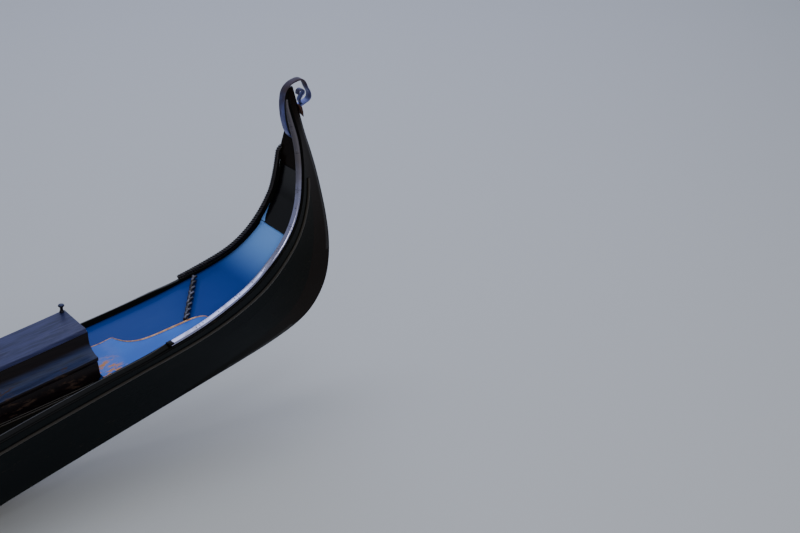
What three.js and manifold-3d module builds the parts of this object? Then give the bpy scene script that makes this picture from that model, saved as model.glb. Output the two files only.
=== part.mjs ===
// A gondola: a long, narrow, flat-bottomed rowing boat with a high curled stern and a comb-shaped bow iron.
// Millimetres. +X is toward the bow, +Y to port, +Z up. The origin is under the middle, on the flat of the bottom.
import * as THREE from "three";
import { mergeVertices } from "three/addons/utils/BufferGeometryUtils.js";
import Module from "manifold-3d";

const wasm = await Module();
wasm.setup();

// Driving sizes
const GAP = 0.3;
const SEAT_GAP = 0.4;
const PLANK = 18;
const BOTTOM_BOARD = 22;
const SEAM = 0.52;
const DECK_DROP = 18;
const DECK_THICKNESS = 16;
const COVER_AFT = -3940;
const COVER_FORE = -3080;
const STEP = 0.5;

// The hull as stations from the top of the stern fin to the top of the stem. gx, gz and gb place the gunwale edge
// (along, up, half breadth), cx, cz and cb the lower outer edge. lean moves a station to port, because a gondola is
// built crooked to balance its one oar. post is the share of the side, from below, that the end post takes.
const COLUMNS = ["gx", "gz", "gb", "cx", "cz", "cb", "lean", "post"];
const STATIONS = [
  [-5230, 1948, 8, -5250, 1952, 5, 0, 1],
  [-5211, 1868, 28, -5268, 1872, 9, 0, 1],
  [-5236, 1700, 68, -5308, 1702, 10, 0, 1],
  [-5232, 1557, 100, -5345, 1580, 11, 0, 0.85],
  [-5219, 1452, 116, -5377, 1460, 11, 0, 0.62],
  [-5197, 1349, 131, -5407, 1320, 12, 0, 0.5],
  [-5147, 1245, 148, -5432, 1180, 12, 0, 0.42],
  [-5072, 1148, 160, -5447, 1040, 12, 0, 0.36],
  [-4960, 1056, 177, -5440, 900, 13, 0, 0.31],
  [-4838, 992, 204, -5405, 770, 14, 0, 0.27],
  [-4686, 938, 228, -5304, 636, 16, 0, 0.24],
  [-4500, 886, 248, -5140, 560, 20, 2, 0.21],
  [-4300, 850, 260, -4900, 505, 32, 6, 0.15],
  [-4100, 824, 269, -4620, 464, 56, 12, 0.09],
  [-3940, 806, 277, -4320, 422, 84, 18, 0],
  [-3600, 772, 310, -3880, 364, 128, 30, 0],
  [-3200, 737, 366, -3400, 305, 182, 45, 0],
  [-2700, 698, 452, -2800, 222, 258, 65, 0],
  [-2000, 650, 562, -2050, 118, 350, 88, 0],
  [-1200, 611, 652, -1220, 30, 424, 107, 0],
  [-600, 595, 690, -600, 0, 455, 117, 0],
  [0, 589, 702, 0, 0, 466, 120, 0],
  [600, 595, 690, 600, 0, 455, 117, 0],
  [1200, 611, 650, 1220, 30, 424, 107, 0],
  [2000, 651, 556, 2050, 116, 348, 88, 0],
  [2700, 703, 446, 2780, 216, 258, 65, 0],
  [3300, 759, 345, 3420, 318, 172, 43, 0],
  [3850, 830, 255, 4020, 430, 100, 20, 0],
  [4300, 908, 186, 4500, 540, 50, 6, 0.1],
  [4650, 990, 134, 4880, 668, 24, 0, 0.2],
  [4900, 1080, 96, 5110, 820, 16, 0, 0.32],
  [5060, 1170, 68, 5235, 980, 13, 0, 0.5],
  [5150, 1260, 46, 5295, 1140, 12, 0, 0.78],
  [5200, 1350, 30, 5325, 1300, 11, 0, 1],
  [5222, 1430, 22, 5335, 1430, 10, 0, 1],
].map((row) => Object.fromEntries(row.map((value, i) => [COLUMNS[i], value])));
const LAST = STATIONS.length - 1;
const curveOf = (a, b, c) =>
  new THREE.CatmullRomCurve3(
    STATIONS.map((s) => new THREE.Vector3(s[a], s[b], s[c])),
    false,
    "centripetal",
  );
const gunwaleCurve = curveOf("gx", "gb", "gz");
const lowerCurve = curveOf("cx", "cb", "cz");

// A column read between two stations.
function mix(column, r) {
  const i = Math.min(Math.floor(r), LAST - 1);
  return THREE.MathUtils.lerp(
    STATIONS[i][column],
    STATIONS[i + 1][column],
    r - i,
  );
}

// A point on the hull's fair skin: r counts stations, v goes from the lower edge (0) to the gunwale (1).
function fair(r, v, side) {
  const gunwale = gunwaleCurve.getPoint(r / LAST);
  const lower = lowerCurve.getPoint(r / LAST);
  lower.z = Math.max(0, lower.z);
  const p = lower.lerp(gunwale, v);
  p.y = mix("lean", r) + side * p.y;
  return p;
}
const sideLength = (r) => fair(r, 1, 1).distanceTo(fair(r, 0, 1));

// The direction into the boat at that point, square to the skin.
function inward(r, v, side) {
  const a = fair(Math.max(0, r - 0.1), v, side);
  const b = fair(Math.min(LAST, r + 0.1), v, side);
  const up = fair(r, v + 0.05, side).sub(fair(r, v - 0.05, side));
  const n = b.sub(a).cross(up).normalize();
  return n.y * side > 0 ? n.negate() : n;
}

// The built skin is straight between the rings of the grid, and so is everything laid against it.
function inside(r, v, side, depth) {
  const ringPoint = (q) =>
    fair(q, v, side).addScaledVector(inward(q, v, side), depth);
  const low = Math.min(Math.floor(r / STEP) * STEP, LAST - STEP);
  return ringPoint(low).lerp(ringPoint(low + STEP), (r - low) / STEP);
}
const outside = (r, v, side) => inside(r, v, side, 0);

// The station where the skin at height v crosses a plane square to the boat.
function stationAt(x, v = 1) {
  let low = 3;
  let high = LAST;
  for (let i = 0; i < 40; i++) {
    const middle = (low + high) / 2;
    if (outside(middle, v, 1).x < x) low = middle;
    else high = middle;
  }
  return (low + high) / 2;
}

// Stations from one to another, on the grid that every long piece shares.
function stations(from, to, step = STEP) {
  const list = [from];
  for (let r = (Math.floor(from / step) + 1) * step; r < to - 1e-6; r += step)
    list.push(r);
  list.push(to);
  return list;
}

// A closed solid from rings of points: the same number of points in each, joined in turn and capped at both ends.
function loft(rings) {
  const n = rings[0].length;
  const positions = rings.flat().flatMap((p) => [p.x, p.y, p.z]);
  const index = [];
  for (let i = 0; i < rings.length - 1; i++)
    for (let j = 0; j < n; j++) {
      const a = i * n + j;
      const b = i * n + ((j + 1) % n);
      index.push(a, a + n, b, b, a + n, b + n);
    }
  const cap = (ring, first, flip) => {
    const normal = new THREE.Vector3();
    ring.forEach((p, i) =>
      normal.add(p.clone().cross(ring[(i + 1) % n])),
    );
    normal.normalize();
    const u = ring[1].clone().sub(ring[0]);
    u.addScaledVector(normal, -u.dot(normal)).normalize();
    const w = normal.clone().cross(u);
    const flat = ring.map((p) => new THREE.Vector2(p.dot(u), p.dot(w)));
    for (const [a, b, c] of THREE.ShapeUtils.triangulateShape(flat, []))
      index.push(first + a, first + (flip ? c : b), first + (flip ? b : c));
  };
  cap(rings[0], 0, false);
  cap(rings.at(-1), (rings.length - 1) * n, true);
  const geometry = new THREE.BufferGeometry();
  geometry.setAttribute(
    "position",
    new THREE.Float32BufferAttribute(positions, 3),
  );
  geometry.setIndex(index);
  return outward(geometry);
}

// Turns a closed geometry's faces out where they point in.
function outward(geometry) {
  const p = geometry.getAttribute("position");
  const index = geometry.getIndex().array;
  const at = (i) => new THREE.Vector3().fromBufferAttribute(p, index[i]);
  let volume = 0;
  for (let i = 0; i < index.length; i += 3)
    volume += at(i).dot(at(i + 1).cross(at(i + 2)));
  if (volume < 0)
    for (let i = 0; i < index.length; i += 3)
      [index[i + 1], index[i + 2]] = [index[i + 2], index[i + 1]];
  return geometry;
}

// Joining and cutting
function solidOf(geometry) {
  const bare = geometry.clone();
  bare.deleteAttribute("normal");
  bare.deleteAttribute("uv");
  const merged = mergeVertices(bare, 1e-3);
  return new wasm.Manifold(
    new wasm.Mesh({
      numProp: 3,
      vertProperties: new Float32Array(merged.attributes.position.array),
      triVerts: new Uint32Array(merged.index.array),
    }),
  );
}
function geometryOf(solid) {
  const mesh = solid.getMesh();
  const geometry = new THREE.BufferGeometry();
  geometry.setAttribute(
    "position",
    new THREE.BufferAttribute(mesh.vertProperties, 3),
  );
  geometry.setIndex(new THREE.BufferAttribute(mesh.triVerts, 1));
  return geometry;
}
const join = (...parts) =>
  geometryOf(parts.map(solidOf).reduce((a, b) => a.add(b)));
const cut = (body, ...tools) =>
  geometryOf(tools.map(solidOf).reduce((a, b) => a.subtract(b), solidOf(body)));

function box(x0, x1, y0, y1, z0, z1) {
  const geometry = new THREE.BoxGeometry(x1 - x0, y1 - y0, z1 - z0);
  geometry.translate((x0 + x1) / 2, (y0 + y1) / 2, (z0 + z1) / 2);
  return geometry;
}

// An outline in the profile plane, as thick as it is deep across the boat, centred on y.
function profilePlate(shape, y, thickness, segments = 8) {
  const geometry = new THREE.ExtrudeGeometry(shape, {
    depth: thickness,
    bevelEnabled: false,
    curveSegments: segments,
  });
  geometry.rotateX(Math.PI / 2);
  geometry.translate(0, y + thickness / 2, 0);
  return geometry;
}

// Parts and their materials
const boat = new THREE.Group();
const PAINT = {
  lacquer: [0x15110f, 0.22, 0.0],
  wood: [0x5b3a22, 0.55, 0.0],
  worn: [0x2a2430, 0.5, 0.0],
  blue: [0x0f3f8b, 0.2, 0.0],
  lightBlue: [0x2662c8, 0.25, 0.0],
  steel: [0xb9bfca, 0.3, 0.9],
  brass: [0xc79a3e, 0.3, 0.9],
  cloth: [0x7a1420, 0.9, 0.0],
  leather: [0x141216, 0.5, 0.0],
};
function add(name, geometry, paint) {
  const [color, roughness, metalness] = PAINT[paint];
  const mesh = new THREE.Mesh(
    geometry,
    new THREE.MeshStandardMaterial({ color, roughness, metalness }),
  );
  mesh.name = name;
  boat.add(mesh);
}
const SIDES = [
  ["port", 1],
  ["starboard", -1],
];

// How much of the side, from below, belongs to the post or the bottom board.
const footShare = (r) => Math.max(mix("post", r), BOTTOM_BOARD / sideLength(r));

// Bottom board and the posts at both ends
const STERN_POST_END = 13.5;
const BOW_POST_START = 28;
function footRing(r) {
  const v = footShare(r);
  return [
    outside(r, 0, 1),
    outside(r, v, 1),
    outside(r, v, -1),
    outside(r, 0, -1),
  ];
}
const joint = GAP / 300;
add(
  "stern_post",
  loft(stations(0, STERN_POST_END - joint).map(footRing)),
  "lacquer",
);
add(
  "bottom",
  loft(stations(STERN_POST_END, BOW_POST_START).map(footRing)),
  "lacquer",
);
add(
  "stem_post",
  loft(stations(BOW_POST_START + joint, LAST).map(footRing)),
  "lacquer",
);

// The bead's height on the side, and the seam between the planks below it
const BEAD_DROPS = [
  [0, 78],
  [5.5, 78],
  [7, 92],
  [9, 107],
  [12, 105],
  [14, 92],
  [17, 84],
  [LAST, 78],
];
function beadDrop(r) {
  const i = BEAD_DROPS.findIndex(([station], n) => n > 0 && r <= station);
  const [[r0, d0], [r1, d1]] = [BEAD_DROPS[i - 1], BEAD_DROPS[i]];
  return d0 + ((d1 - d0) * (r - r0)) / (r1 - r0);
}
const beadShare = (r) => 1 - beadDrop(r) / sideLength(r);
const seamShare = (r) =>
  Math.max(
    footShare(r) + 0.04,
    Math.min(footShare(r) + (1 - footShare(r)) * SEAM, beadShare(r) - 0.06),
  );

// Side planks, two to a side, each ring with a point on the line of the bead
const SIDE_START = 3;
const SIDE_END = 32;
function plank(low, high, side) {
  return loft(
    stations(SIDE_START, SIDE_END).map((r) => {
      const a = low(r) + GAP / sideLength(r);
      const b = Math.max(high(r), a + 0.02);
      const line = THREE.MathUtils.clamp(beadShare(r), a + 0.1 * (b - a), b - 0.1 * (b - a));
      return [
        ...[a, line, b].map((v) => outside(r, v, side)),
        ...[b, line, a].map((v) => inside(r, v, side, PLANK)),
      ];
    }),
  );
}
for (const [name, side] of SIDES) {
  add(
    name + "_lower_plank",
    plank(footShare, (r) => seamShare(r) - GAP / sideLength(r), side),
    "lacquer",
  );
  add(name + "_upper_plank", plank(seamShare, () => 1, side), "lacquer");
}

// A frame of directions on the hull's skin: out from the side, and up along it.
function skinFrame(r, v, side) {
  const out = inward(r, v, side).negate();
  const along = outside(Math.min(LAST, r + 0.1), v, side)
    .sub(outside(Math.max(0, r - 0.1), v, side))
    .normalize();
  const up = along.clone().cross(out).normalize();
  if (up.dot(outside(r, 1, side).sub(outside(r, 0, side))) < 0) up.negate();
  return { origin: outside(r, v, side), out, up };
}
// A bar along the hull with a section given as pairs: out from the skin, up along it.
function skinBar(from, to, v, side, section) {
  return loft(
    stations(from, to).map((r) => {
      const { origin, out, up } = skinFrame(r, v(r), side);
      return section(r).map(([o, h]) =>
        origin.clone().addScaledVector(out, o).addScaledVector(up, h),
      );
    }),
  );
}

// Gunwale rails, rubbing beads, and the bands that cap the rails aft. A rail has a bead along its outer edge and
// gets lower and narrower up the fin, where the port one runs on above the starboard one. Each has a low
// stretch, the starboard one under its rope and the port one ahead of the joint.
const RAILS = { port: 0.7, starboard: 2.85 };
const RAIL_END = 31.5;
const RAIL_HEIGHT = 20;
const RAIL_SEAT = 0.7;
const RAIL_IN = 32;
const railIn = (r) => Math.min(RAIL_IN, gunwaleCurve.getPoint(r / LAST).y - 12);
const LOW_RAIL = 9;
const ROPE_END = 10.5;
const PORT_LOW = [12.5, 16.5];
function railTop(r, side = 1) {
  const low = side < 0 ? r <= ROPE_END : r >= PORT_LOW[0] && r <= PORT_LOW[1];
  return low ? LOW_RAIL : Math.min(RAIL_HEIGHT, 8 + 2.4 * r);
}
const railSection = (side) => (r) => {
  const top = railTop(r, side);
  return [
    [10, RAIL_SEAT],
    [12.5, top * 0.3],
    [10, top * 0.6],
    [4, top * 0.65],
    [3, top],
    [2 - railIn(r), top],
    [-railIn(r), top * 0.85],
    [-railIn(r), RAIL_SEAT],
  ];
};
const BEAD_GAP = 0.8;
const beadSection = () => [
  [BEAD_GAP, -9],
  [6, -8],
  [9, 0],
  [6, 8],
  [BEAD_GAP, 9],
];
for (const [name, side] of SIDES) {
  add(
    name + "_gunwale",
    skinBar(RAILS[name], RAIL_END, () => 1, side, railSection(side)),
    "lacquer",
  );
  add(
    name + "_rubbing_bead",
    skinBar(4, 31, beadShare, side, beadSection),
    "lacquer",
  );
}

// A nailed half-round band caps the port rail aft of its joint, and a carved rope caps the starboard one.
const JOINT_X = -4315;
const ROPE_JOINT_X = -4640;
const CAP_SEAT = 0.8;
const capSection = (side, rise, flat) => (r) => {
  const middle = (2 - railIn(r)) / 2;
  const half = railIn(r) / 2;
  const top = railTop(r, side);
  return [
    [middle + half, top + CAP_SEAT],
    [middle + half * 0.9, top + rise * 0.6],
    [middle + half * flat, top + rise],
    [middle - half * flat, top + rise],
    [middle - half * 0.9, top + rise * 0.6],
    [middle - half, top + CAP_SEAT],
  ];
};
add(
  "port_rail_band",
  skinBar(RAILS.port, stationAt(JOINT_X), () => 1, 1, capSection(1, 9, 0.5)),
  "steel",
);
add(
  "starboard_rail_rope",
  skinBar(RAILS.starboard, stationAt(ROPE_JOINT_X), () => 1, -1, capSection(-1, 13, 0.6)),
  "lacquer",
);

// A deck laid between the planks: rings across the boat at a depth below the gunwale.
const EDGE_GAP = 0.9;
const deckEdge = (r, drop, side) =>
  inside(r, 1 - drop / sideLength(r), side, PLANK + EDGE_GAP);
const deckRing = (r, drop, thickness) => [
  deckEdge(r, drop, 1),
  deckEdge(r, drop, -1),
  deckEdge(r, drop + thickness, -1),
  deckEdge(r, drop + thickness, 1),
];

// Stern deck, and the end deck that fills the narrowing up to the fin
const STERN_DECK_FORE = 17.5;
const END_DECK_FORE = 6.6;
const END_DECK_AFT = 3.5;
const END_DECK_RISE = 8;
add(
  "stern_deck",
  loft(
    stations(END_DECK_FORE + joint, STERN_DECK_FORE).map((r) =>
      deckRing(r, DECK_DROP, DECK_THICKNESS),
    ),
  ),
  "blue",
);
add(
  "stern_end_deck",
  loft(
    stations(END_DECK_AFT, END_DECK_FORE - joint).map((r) =>
      deckRing(r, DECK_DROP - END_DECK_RISE, DECK_THICKNESS + END_DECK_RISE),
    ),
  ),
  "lacquer",
);

// The station of the stern deck's top above a place, and the height of that top.
function deckStation(x) {
  let low = END_DECK_FORE;
  let high = STERN_DECK_FORE;
  for (let i = 0; i < 40; i++) {
    const middle = (low + high) / 2;
    if (deckEdge(middle, DECK_DROP, 1).x < x) low = middle;
    else high = middle;
  }
  return low;
}
const deckHeight = (x) =>
  Math.max(...[1, -1].map((side) => deckEdge(deckStation(x), DECK_DROP, side).z));

// A point on the stern deck's top: on the ring at r, across the boat at y.
function onDeck(r, y) {
  const port = deckEdge(r, DECK_DROP, 1);
  const starboard = deckEdge(r, DECK_DROP, -1);
  return starboard.clone().lerp(port, (y - starboard.y) / (port.y - starboard.y));
}
const point = (x, y, z) => new THREE.Vector3(x, y, z);

// Covering board on the port half of the stern deck. Its inner edge runs in a cusp and a hollow to the rail.
const BOARD_THICKNESS = 12;
const BOARD_SEAT = 0.5;
const BOARD_EDGE = [
  [-4573, 189],
  [-4566, 168],
  [-4536, 142],
  [-4501, 130],
  [-4446, 123],
  [-4390, 117],
  [-4335, 112],
  [-4281, 105],
  [-4231, 92],
  [-4181, 58],
  [-4156, 19],
  [-4144, -12],
  [-4136, -33],
  [-4116, -36],
  [-4070, -32],
  [-3946, -50],
];
add(
  "port_covering_board",
  loft(
    BOARD_EDGE.map(([x, inner]) => {
      const outer =
        deckEdge(deckStation(x), DECK_DROP + DECK_THICKNESS, 1).y - 1;
      const low = deckHeight(x) + BOARD_SEAT;
      return [
        point(x, inner, low),
        point(x, outer, low),
        point(x, outer, low + BOARD_THICKNESS),
        point(x, inner, low + BOARD_THICKNESS),
      ];
    }),
  ),
  "lightBlue",
);

// Carved rope laid across the starboard half of the deck, from the rail to the covering board
const ROPE_FROM = [-4706, -171];
const ROPE_TO = [-4492, 112];
const ROPE_RADIUS = 17;
const ROPE_LIFT = 0.9;
const ROPE_RINGS = 6;
const ROPE_SIDES = 8;
function deckRope() {
  const from = new THREE.Vector2(...ROPE_FROM);
  const to = new THREE.Vector2(...ROPE_TO);
  const across = to.clone().sub(from).normalize().rotateAround({ x: 0, y: 0 }, Math.PI / 2);
  const rings = [];
  for (let i = 0; i <= ROPE_RINGS; i++) {
    const centre = from.clone().lerp(to, i / ROPE_RINGS);
    const base = deckHeight(centre.x) + ROPE_LIFT;
    rings.push(
      Array.from({ length: ROPE_SIDES }, (_, j) => {
        const angle = ((j + 0.5) / ROPE_SIDES) * 2 * Math.PI;
        const side = across.clone().multiplyScalar(ROPE_RADIUS * Math.cos(angle));
        const up = ROPE_RADIUS * (1 + Math.sin(angle));
        return point(centre.x + side.x, centre.y + side.y, base + up);
      }),
    );
  }
  return loft(rings);
}
add("deck_rope", deckRope(), "lacquer");

// Moulded cover on the stern deck: a body with a hollow flare, and a flat plank on top
const COVER_BODY = [
  [210, 0.6],
  [212, 14],
  [194, 88],
  [207, 100],
  [206, 117],
  [172, 120],
  [142, 131],
  [122, 150],
  [115, 172],
  [114, 219],
];
const COVER_TOP = [
  [122, 219.4],
  [122, 242],
];
function coverLoft(outline, from, to) {
  return loft(
    stations(deckStation(from), deckStation(to)).map((r) => {
      const middle = mix("lean", r);
      const [half, other] = [1, -1].map((side) =>
        outline.map(([y, h]) => onDeck(r, middle + side * y).add(point(0, 0, h))),
      );
      return [...half, ...other.reverse()];
    }),
  );
}
add("cover_body", coverLoft(COVER_BODY, COVER_AFT, COVER_FORE), "worn");
add("cover_top", coverLoft(COVER_TOP, COVER_AFT + 10, COVER_FORE + 6), "worn");
const knob = new THREE.LatheGeometry(
  [
    [0, 0],
    [9, 0],
    [9, 5],
    [5, 9],
    [6, 26],
    [10, 31],
    [8, 39],
    [0, 42],
  ].map(([r, h]) => new THREE.Vector2(r, h)),
  12,
);
knob.rotateX(Math.PI / 2);
const knobX = COVER_AFT + 30;
knob.translate(
  knobX,
  mix("lean", deckStation(COVER_AFT)) - 106,
  deckHeight(knobX - 9) + COVER_TOP[1][1] + SEAT_GAP,
);
add("cover_knob", knob, "lacquer");

// Foredeck in two flanks that meet in a low ridge, with a moulding across its after end
const FOREDECK_AFT = 25;
const FOREDECK_END = 31.5;
const FOREDECK_CROWN = 46;
function flankRing(r, side) {
  const fade = (FOREDECK_END - r) / (FOREDECK_END - FOREDECK_AFT);
  const ridge = (drop) => {
    const a = deckEdge(r, drop, 1);
    const b = deckEdge(r, drop, -1);
    return a.lerp(b, 0.5).add(point(0, (side * GAP) / 2, FOREDECK_CROWN * fade));
  };
  return [
    deckEdge(r, DECK_DROP, side),
    ridge(DECK_DROP),
    ridge(DECK_DROP + DECK_THICKNESS),
    deckEdge(r, DECK_DROP + DECK_THICKNESS, side),
  ];
}
for (const [name, side] of SIDES)
  add(
    name + "_foredeck",
    loft(
      stations(FOREDECK_AFT, FOREDECK_END).map((r) => flankRing(r, side)),
    ),
    "lacquer",
  );

// Beams across the open ends of the two decks
const DECK_BEAMS = [
  ["aft", STERN_DECK_FORE, 1, 0],
  ["fore", FOREDECK_AFT, -1, FOREDECK_CROWN],
];
const BEAM = { thickness: 22, gap: 0.5, drop: 44, rise: 12 };
for (const [name, r, direction, crown] of DECK_BEAMS) {
  const [port, starboard] = [1, -1].map((side) => deckEdge(r, DECK_DROP, side));
  const [low, lowStarboard] = [1, -1].map((side) => deckEdge(r, DECK_DROP + BEAM.drop, side));
  const shape = new THREE.Shape();
  const middle = (port.y + starboard.y) / 2;
  shape.moveTo(low.y - 3, port.z - BEAM.drop);
  shape.lineTo(port.y - 3, port.z + BEAM.rise);
  shape.quadraticCurveTo(middle, port.z + BEAM.rise + crown * 2, starboard.y + 3, port.z + BEAM.rise);
  shape.lineTo(lowStarboard.y + 3, port.z - BEAM.drop);
  shape.quadraticCurveTo(middle, port.z - BEAM.drop + crown * 2, low.y - 3, port.z - BEAM.drop);
  const geometry = new THREE.ExtrudeGeometry(shape, {
    depth: BEAM.thickness,
    bevelEnabled: false,
    curveSegments: 10,
  });
  geometry.rotateX(Math.PI / 2);
  geometry.rotateZ(Math.PI / 2);
  const xs = [port.x, starboard.x, low.x, lowStarboard.x];
  const face = direction > 0 ? Math.max(...xs) : Math.min(...xs);
  const from = direction > 0 ? face + BEAM.gap : face - BEAM.gap - BEAM.thickness;
  geometry.translate(from, 0, 0);
  add(name + "_deck_beam", geometry, "lacquer");
}

// The inner face of the planks at a place along the boat and a height.
function planksInside(x, z, side, clearance = EDGE_GAP) {
  let low = 0;
  let high = 1;
  for (let i = 0; i < 30; i++) {
    const v = (low + high) / 2;
    if (outside(stationAt(x, v), v, side).z < z) low = v;
    else high = v;
  }
  const r = stationAt(x, low);
  const n = inward(r, low, side);
  return outside(r, low, side).y + (PLANK + clearance) * Math.sign(n.y) / Math.abs(n.y);
}
function bottomTop(...places) {
  const heights = places.map((x) => {
    const r = stationAt(x, 0);
    return outside(r, footShare(r), 1).z;
  });
  return Math.max(...heights) + 1;
}

// A panel across the boat, cut to the inside of the planks, from one height to another.
const PANEL_STEPS = 5;
function crossPanel(x0, x1, z0, z1, crown = 0) {
  const edge = (side) =>
    Array.from({ length: PANEL_STEPS + 1 }, (_, i) => {
      const z = z0 + ((z1 - z0) * i) / PANEL_STEPS;
      const inner = [x0, x1].map((x) => side * planksInside(x, z, side));
      return [side * Math.min(...inner), z];
    });
  const shape = new THREE.Shape();
  const port = edge(1);
  const starboard = edge(-1).reverse();
  shape.moveTo(...port[0]);
  port.slice(1).forEach((p) => shape.lineTo(...p));
  shape.lineTo((port.at(-1)[0] + starboard[0][0]) / 2, z1 + crown);
  starboard.forEach((p) => shape.lineTo(...p));
  const geometry = new THREE.ExtrudeGeometry(shape, {
    depth: x1 - x0,
    bevelEnabled: false,
  });
  geometry.rotateX(Math.PI / 2);
  geometry.rotateZ(Math.PI / 2);
  geometry.translate(x0, 0, 0);
  return geometry;
}

// A level board inside the boat, cut to the planks along both edges.
function levelBoard(x0, x1, z0, thickness, steps, clearance = EDGE_GAP) {
  const edge = (side) =>
    Array.from({ length: steps + 1 }, (_, i) => {
      const x = x0 + ((x1 - x0) * i) / steps;
      return [x, planksInside(x, z0, side, clearance)];
    });
  const shape = new THREE.Shape();
  [...edge(-1), ...edge(1).reverse()].forEach(([x, y], i) =>
    i ? shape.lineTo(x, y) : shape.moveTo(x, y),
  );
  const geometry = new THREE.ExtrudeGeometry(shape, {
    depth: thickness,
    bevelEnabled: false,
  });
  geometry.translate(0, 0, z0);
  return geometry;
}

// Bulkheads under the ends of the decks. The fore one has a doorway to the locker under the foredeck.
const BULKHEAD = 18;
const underDeck = (r) =>
  deckEdge(r, DECK_DROP + DECK_THICKNESS, 1).z - SEAT_GAP;
const aftX = deckEdge(STERN_DECK_FORE, DECK_DROP, 1).x - 60;
const foreX = deckEdge(FOREDECK_AFT, DECK_DROP, 1).x + 40;
const aftTop = deckHeight(aftX) - DECK_THICKNESS - 2;
add(
  "aft_bulkhead",
  crossPanel(aftX, aftX + BULKHEAD, bottomTop(aftX, aftX + BULKHEAD), aftTop),
  "lacquer",
);
const foreTop = underDeck(FOREDECK_AFT) + 1;
const foreMiddle = mix("lean", FOREDECK_AFT);
const DOORWAY = { half: 150, low: 330, high: 560 };
add(
  "fore_bulkhead",
  cut(
    crossPanel(
      foreX,
      foreX + BULKHEAD,
      bottomTop(foreX, foreX + BULKHEAD),
      foreTop,
      FOREDECK_CROWN - 8,
    ),
    box(
      foreX - 10,
      foreX + BULKHEAD + 10,
      foreMiddle - DOORWAY.half,
      foreMiddle + DOORWAY.half,
      DOORWAY.low,
      DOORWAY.high,
    ),
  ),
  "lacquer",
);

// Locker door, hung on a rod at its port edge
const DOOR = { thickness: 14, clear: 5, lap: 12, sleeve: 11, rod: 5, edge: 15, bracket: 7 };
const hingeX = foreX - DOOR.clear - DOOR.thickness / 2;
const hingeY = foreMiddle + DOORWAY.half + DOOR.lap + DOOR.sleeve;
const hingeZ = (DOORWAY.low + DOORWAY.high) / 2;
const SLEEVE_HALF = 60;
function ring(outer, inner, z0, z1) {
  const geometry = new THREE.LatheGeometry(
    [
      [inner, z0],
      [outer, z0],
      [outer, z1],
      [inner, z1],
      [inner, z0],
    ].map(([r, h]) => new THREE.Vector2(r, h)),
    20,
  );
  geometry.rotateX(Math.PI / 2);
  return geometry;
}
const sleeve = ring(DOOR.sleeve, DOOR.rod + 0.5, hingeZ - SLEEVE_HALF, hingeZ + SLEEVE_HALF);
sleeve.translate(hingeX, hingeY, 0);
add(
  "locker_door",
  join(
    box(
      foreX - DOOR.clear - DOOR.thickness,
      foreX - DOOR.clear,
      foreMiddle - DOORWAY.half - DOOR.lap,
      hingeY - DOOR.edge,
      DOORWAY.low - DOOR.lap,
      DOORWAY.high + DOOR.lap,
    ),
    box(
      hingeX - 5,
      hingeX + 5,
      hingeY - DOOR.edge - 5,
      hingeY - DOOR.sleeve + 2,
      hingeZ - SLEEVE_HALF,
      hingeZ + SLEEVE_HALF,
    ),
    sleeve,
  ),
  "wood",
);
const rod = new THREE.CylinderGeometry(DOOR.rod, DOOR.rod, 2 * SLEEVE_HALF + 44, 20);
rod.rotateX(Math.PI / 2);
rod.translate(hingeX, hingeY, hingeZ);
const bracket = (z) =>
  box(
    hingeX - DOOR.bracket,
    foreX - SEAT_GAP,
    hingeY - DOOR.bracket,
    hingeY + DOOR.bracket,
    z - 8,
    z + 8,
  );
add(
  "locker_hinge",
  join(
    rod,
    bracket(hingeZ - SLEEVE_HALF - 14),
    bracket(hingeZ + SLEEVE_HALF + 14),
  ),
  "brass",
);

// Floors: a low one in the middle and a raised one toward each end, each carried by the planks at its edges
const FLOOR_THICKNESS = 16;
const STEP_X = 1400;
const RISER = 10;
const MIDDLE_FLOOR_Z = 92;
const END_FLOOR_Z = 262;
const middleEnd = STEP_X - RISER - SEAT_GAP;
add(
  "middle_floor",
  levelBoard(-middleEnd, middleEnd, MIDDLE_FLOOR_Z, FLOOR_THICKNESS, 14),
  "wood",
);
add(
  "aft_floor",
  levelBoard(aftX + BULKHEAD + SEAT_GAP, RISER - STEP_X, END_FLOOR_Z, FLOOR_THICKNESS, 8),
  "wood",
);
add(
  "fore_floor",
  levelBoard(STEP_X - RISER, foreX - SEAT_GAP, END_FLOOR_Z, FLOOR_THICKNESS, 10),
  "wood",
);

// Thwarts from side to side, with a step board under each
const THWART = [150, 28];
const THWART_Z = 470;
const THWARTS = [
  ["aft", -STEP_X],
  ["fore", STEP_X],
];
for (const [name, x] of THWARTS) {
  const half = THWART[0] / 2;
  add(
    name + "_thwart",
    levelBoard(x - half, x + half, THWART_Z, THWART[1], 4),
    "wood",
  );
  add(
    name + "_step_riser",
    crossPanel(
      x - RISER,
      x + RISER,
      bottomTop(x - RISER, x + RISER),
      END_FLOOR_Z - SEAT_GAP,
    ),
    "wood",
  );
}

// Frames seen above the floors: knees on a stringer, one piece to a side
const KNEES = [-2200, -1800, -1060, -680, -300, 80, 460, 840, 1760, 2160, 2560];
const KNEE = { width: 34, depth: 26 };
const STRINGER = { low: 505, high: 545, depth: 20, from: -2390, to: 2725 };
const KNEE_GAP = 0.9;
function against(x0, x1, z0, z1, side, depth) {
  const ringAt = (x) => {
    const a = planksInside(x, z0, side, KNEE_GAP);
    const b = planksInside(x, z1, side, KNEE_GAP);
    return [
      point(x, a, z0),
      point(x, b, z1),
      point(x, b - side * depth, z1),
      point(x, a - side * depth, z0),
    ];
  };
  const steps = Math.max(1, Math.round((x1 - x0) / 260));
  return loft(
    Array.from({ length: steps + 1 }, (_, i) => ringAt(x0 + ((x1 - x0) * i) / steps)),
  );
}
const floorAt = (x) =>
  (Math.abs(x) < STEP_X ? MIDDLE_FLOOR_Z : END_FLOOR_Z) + FLOOR_THICKNESS;
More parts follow.
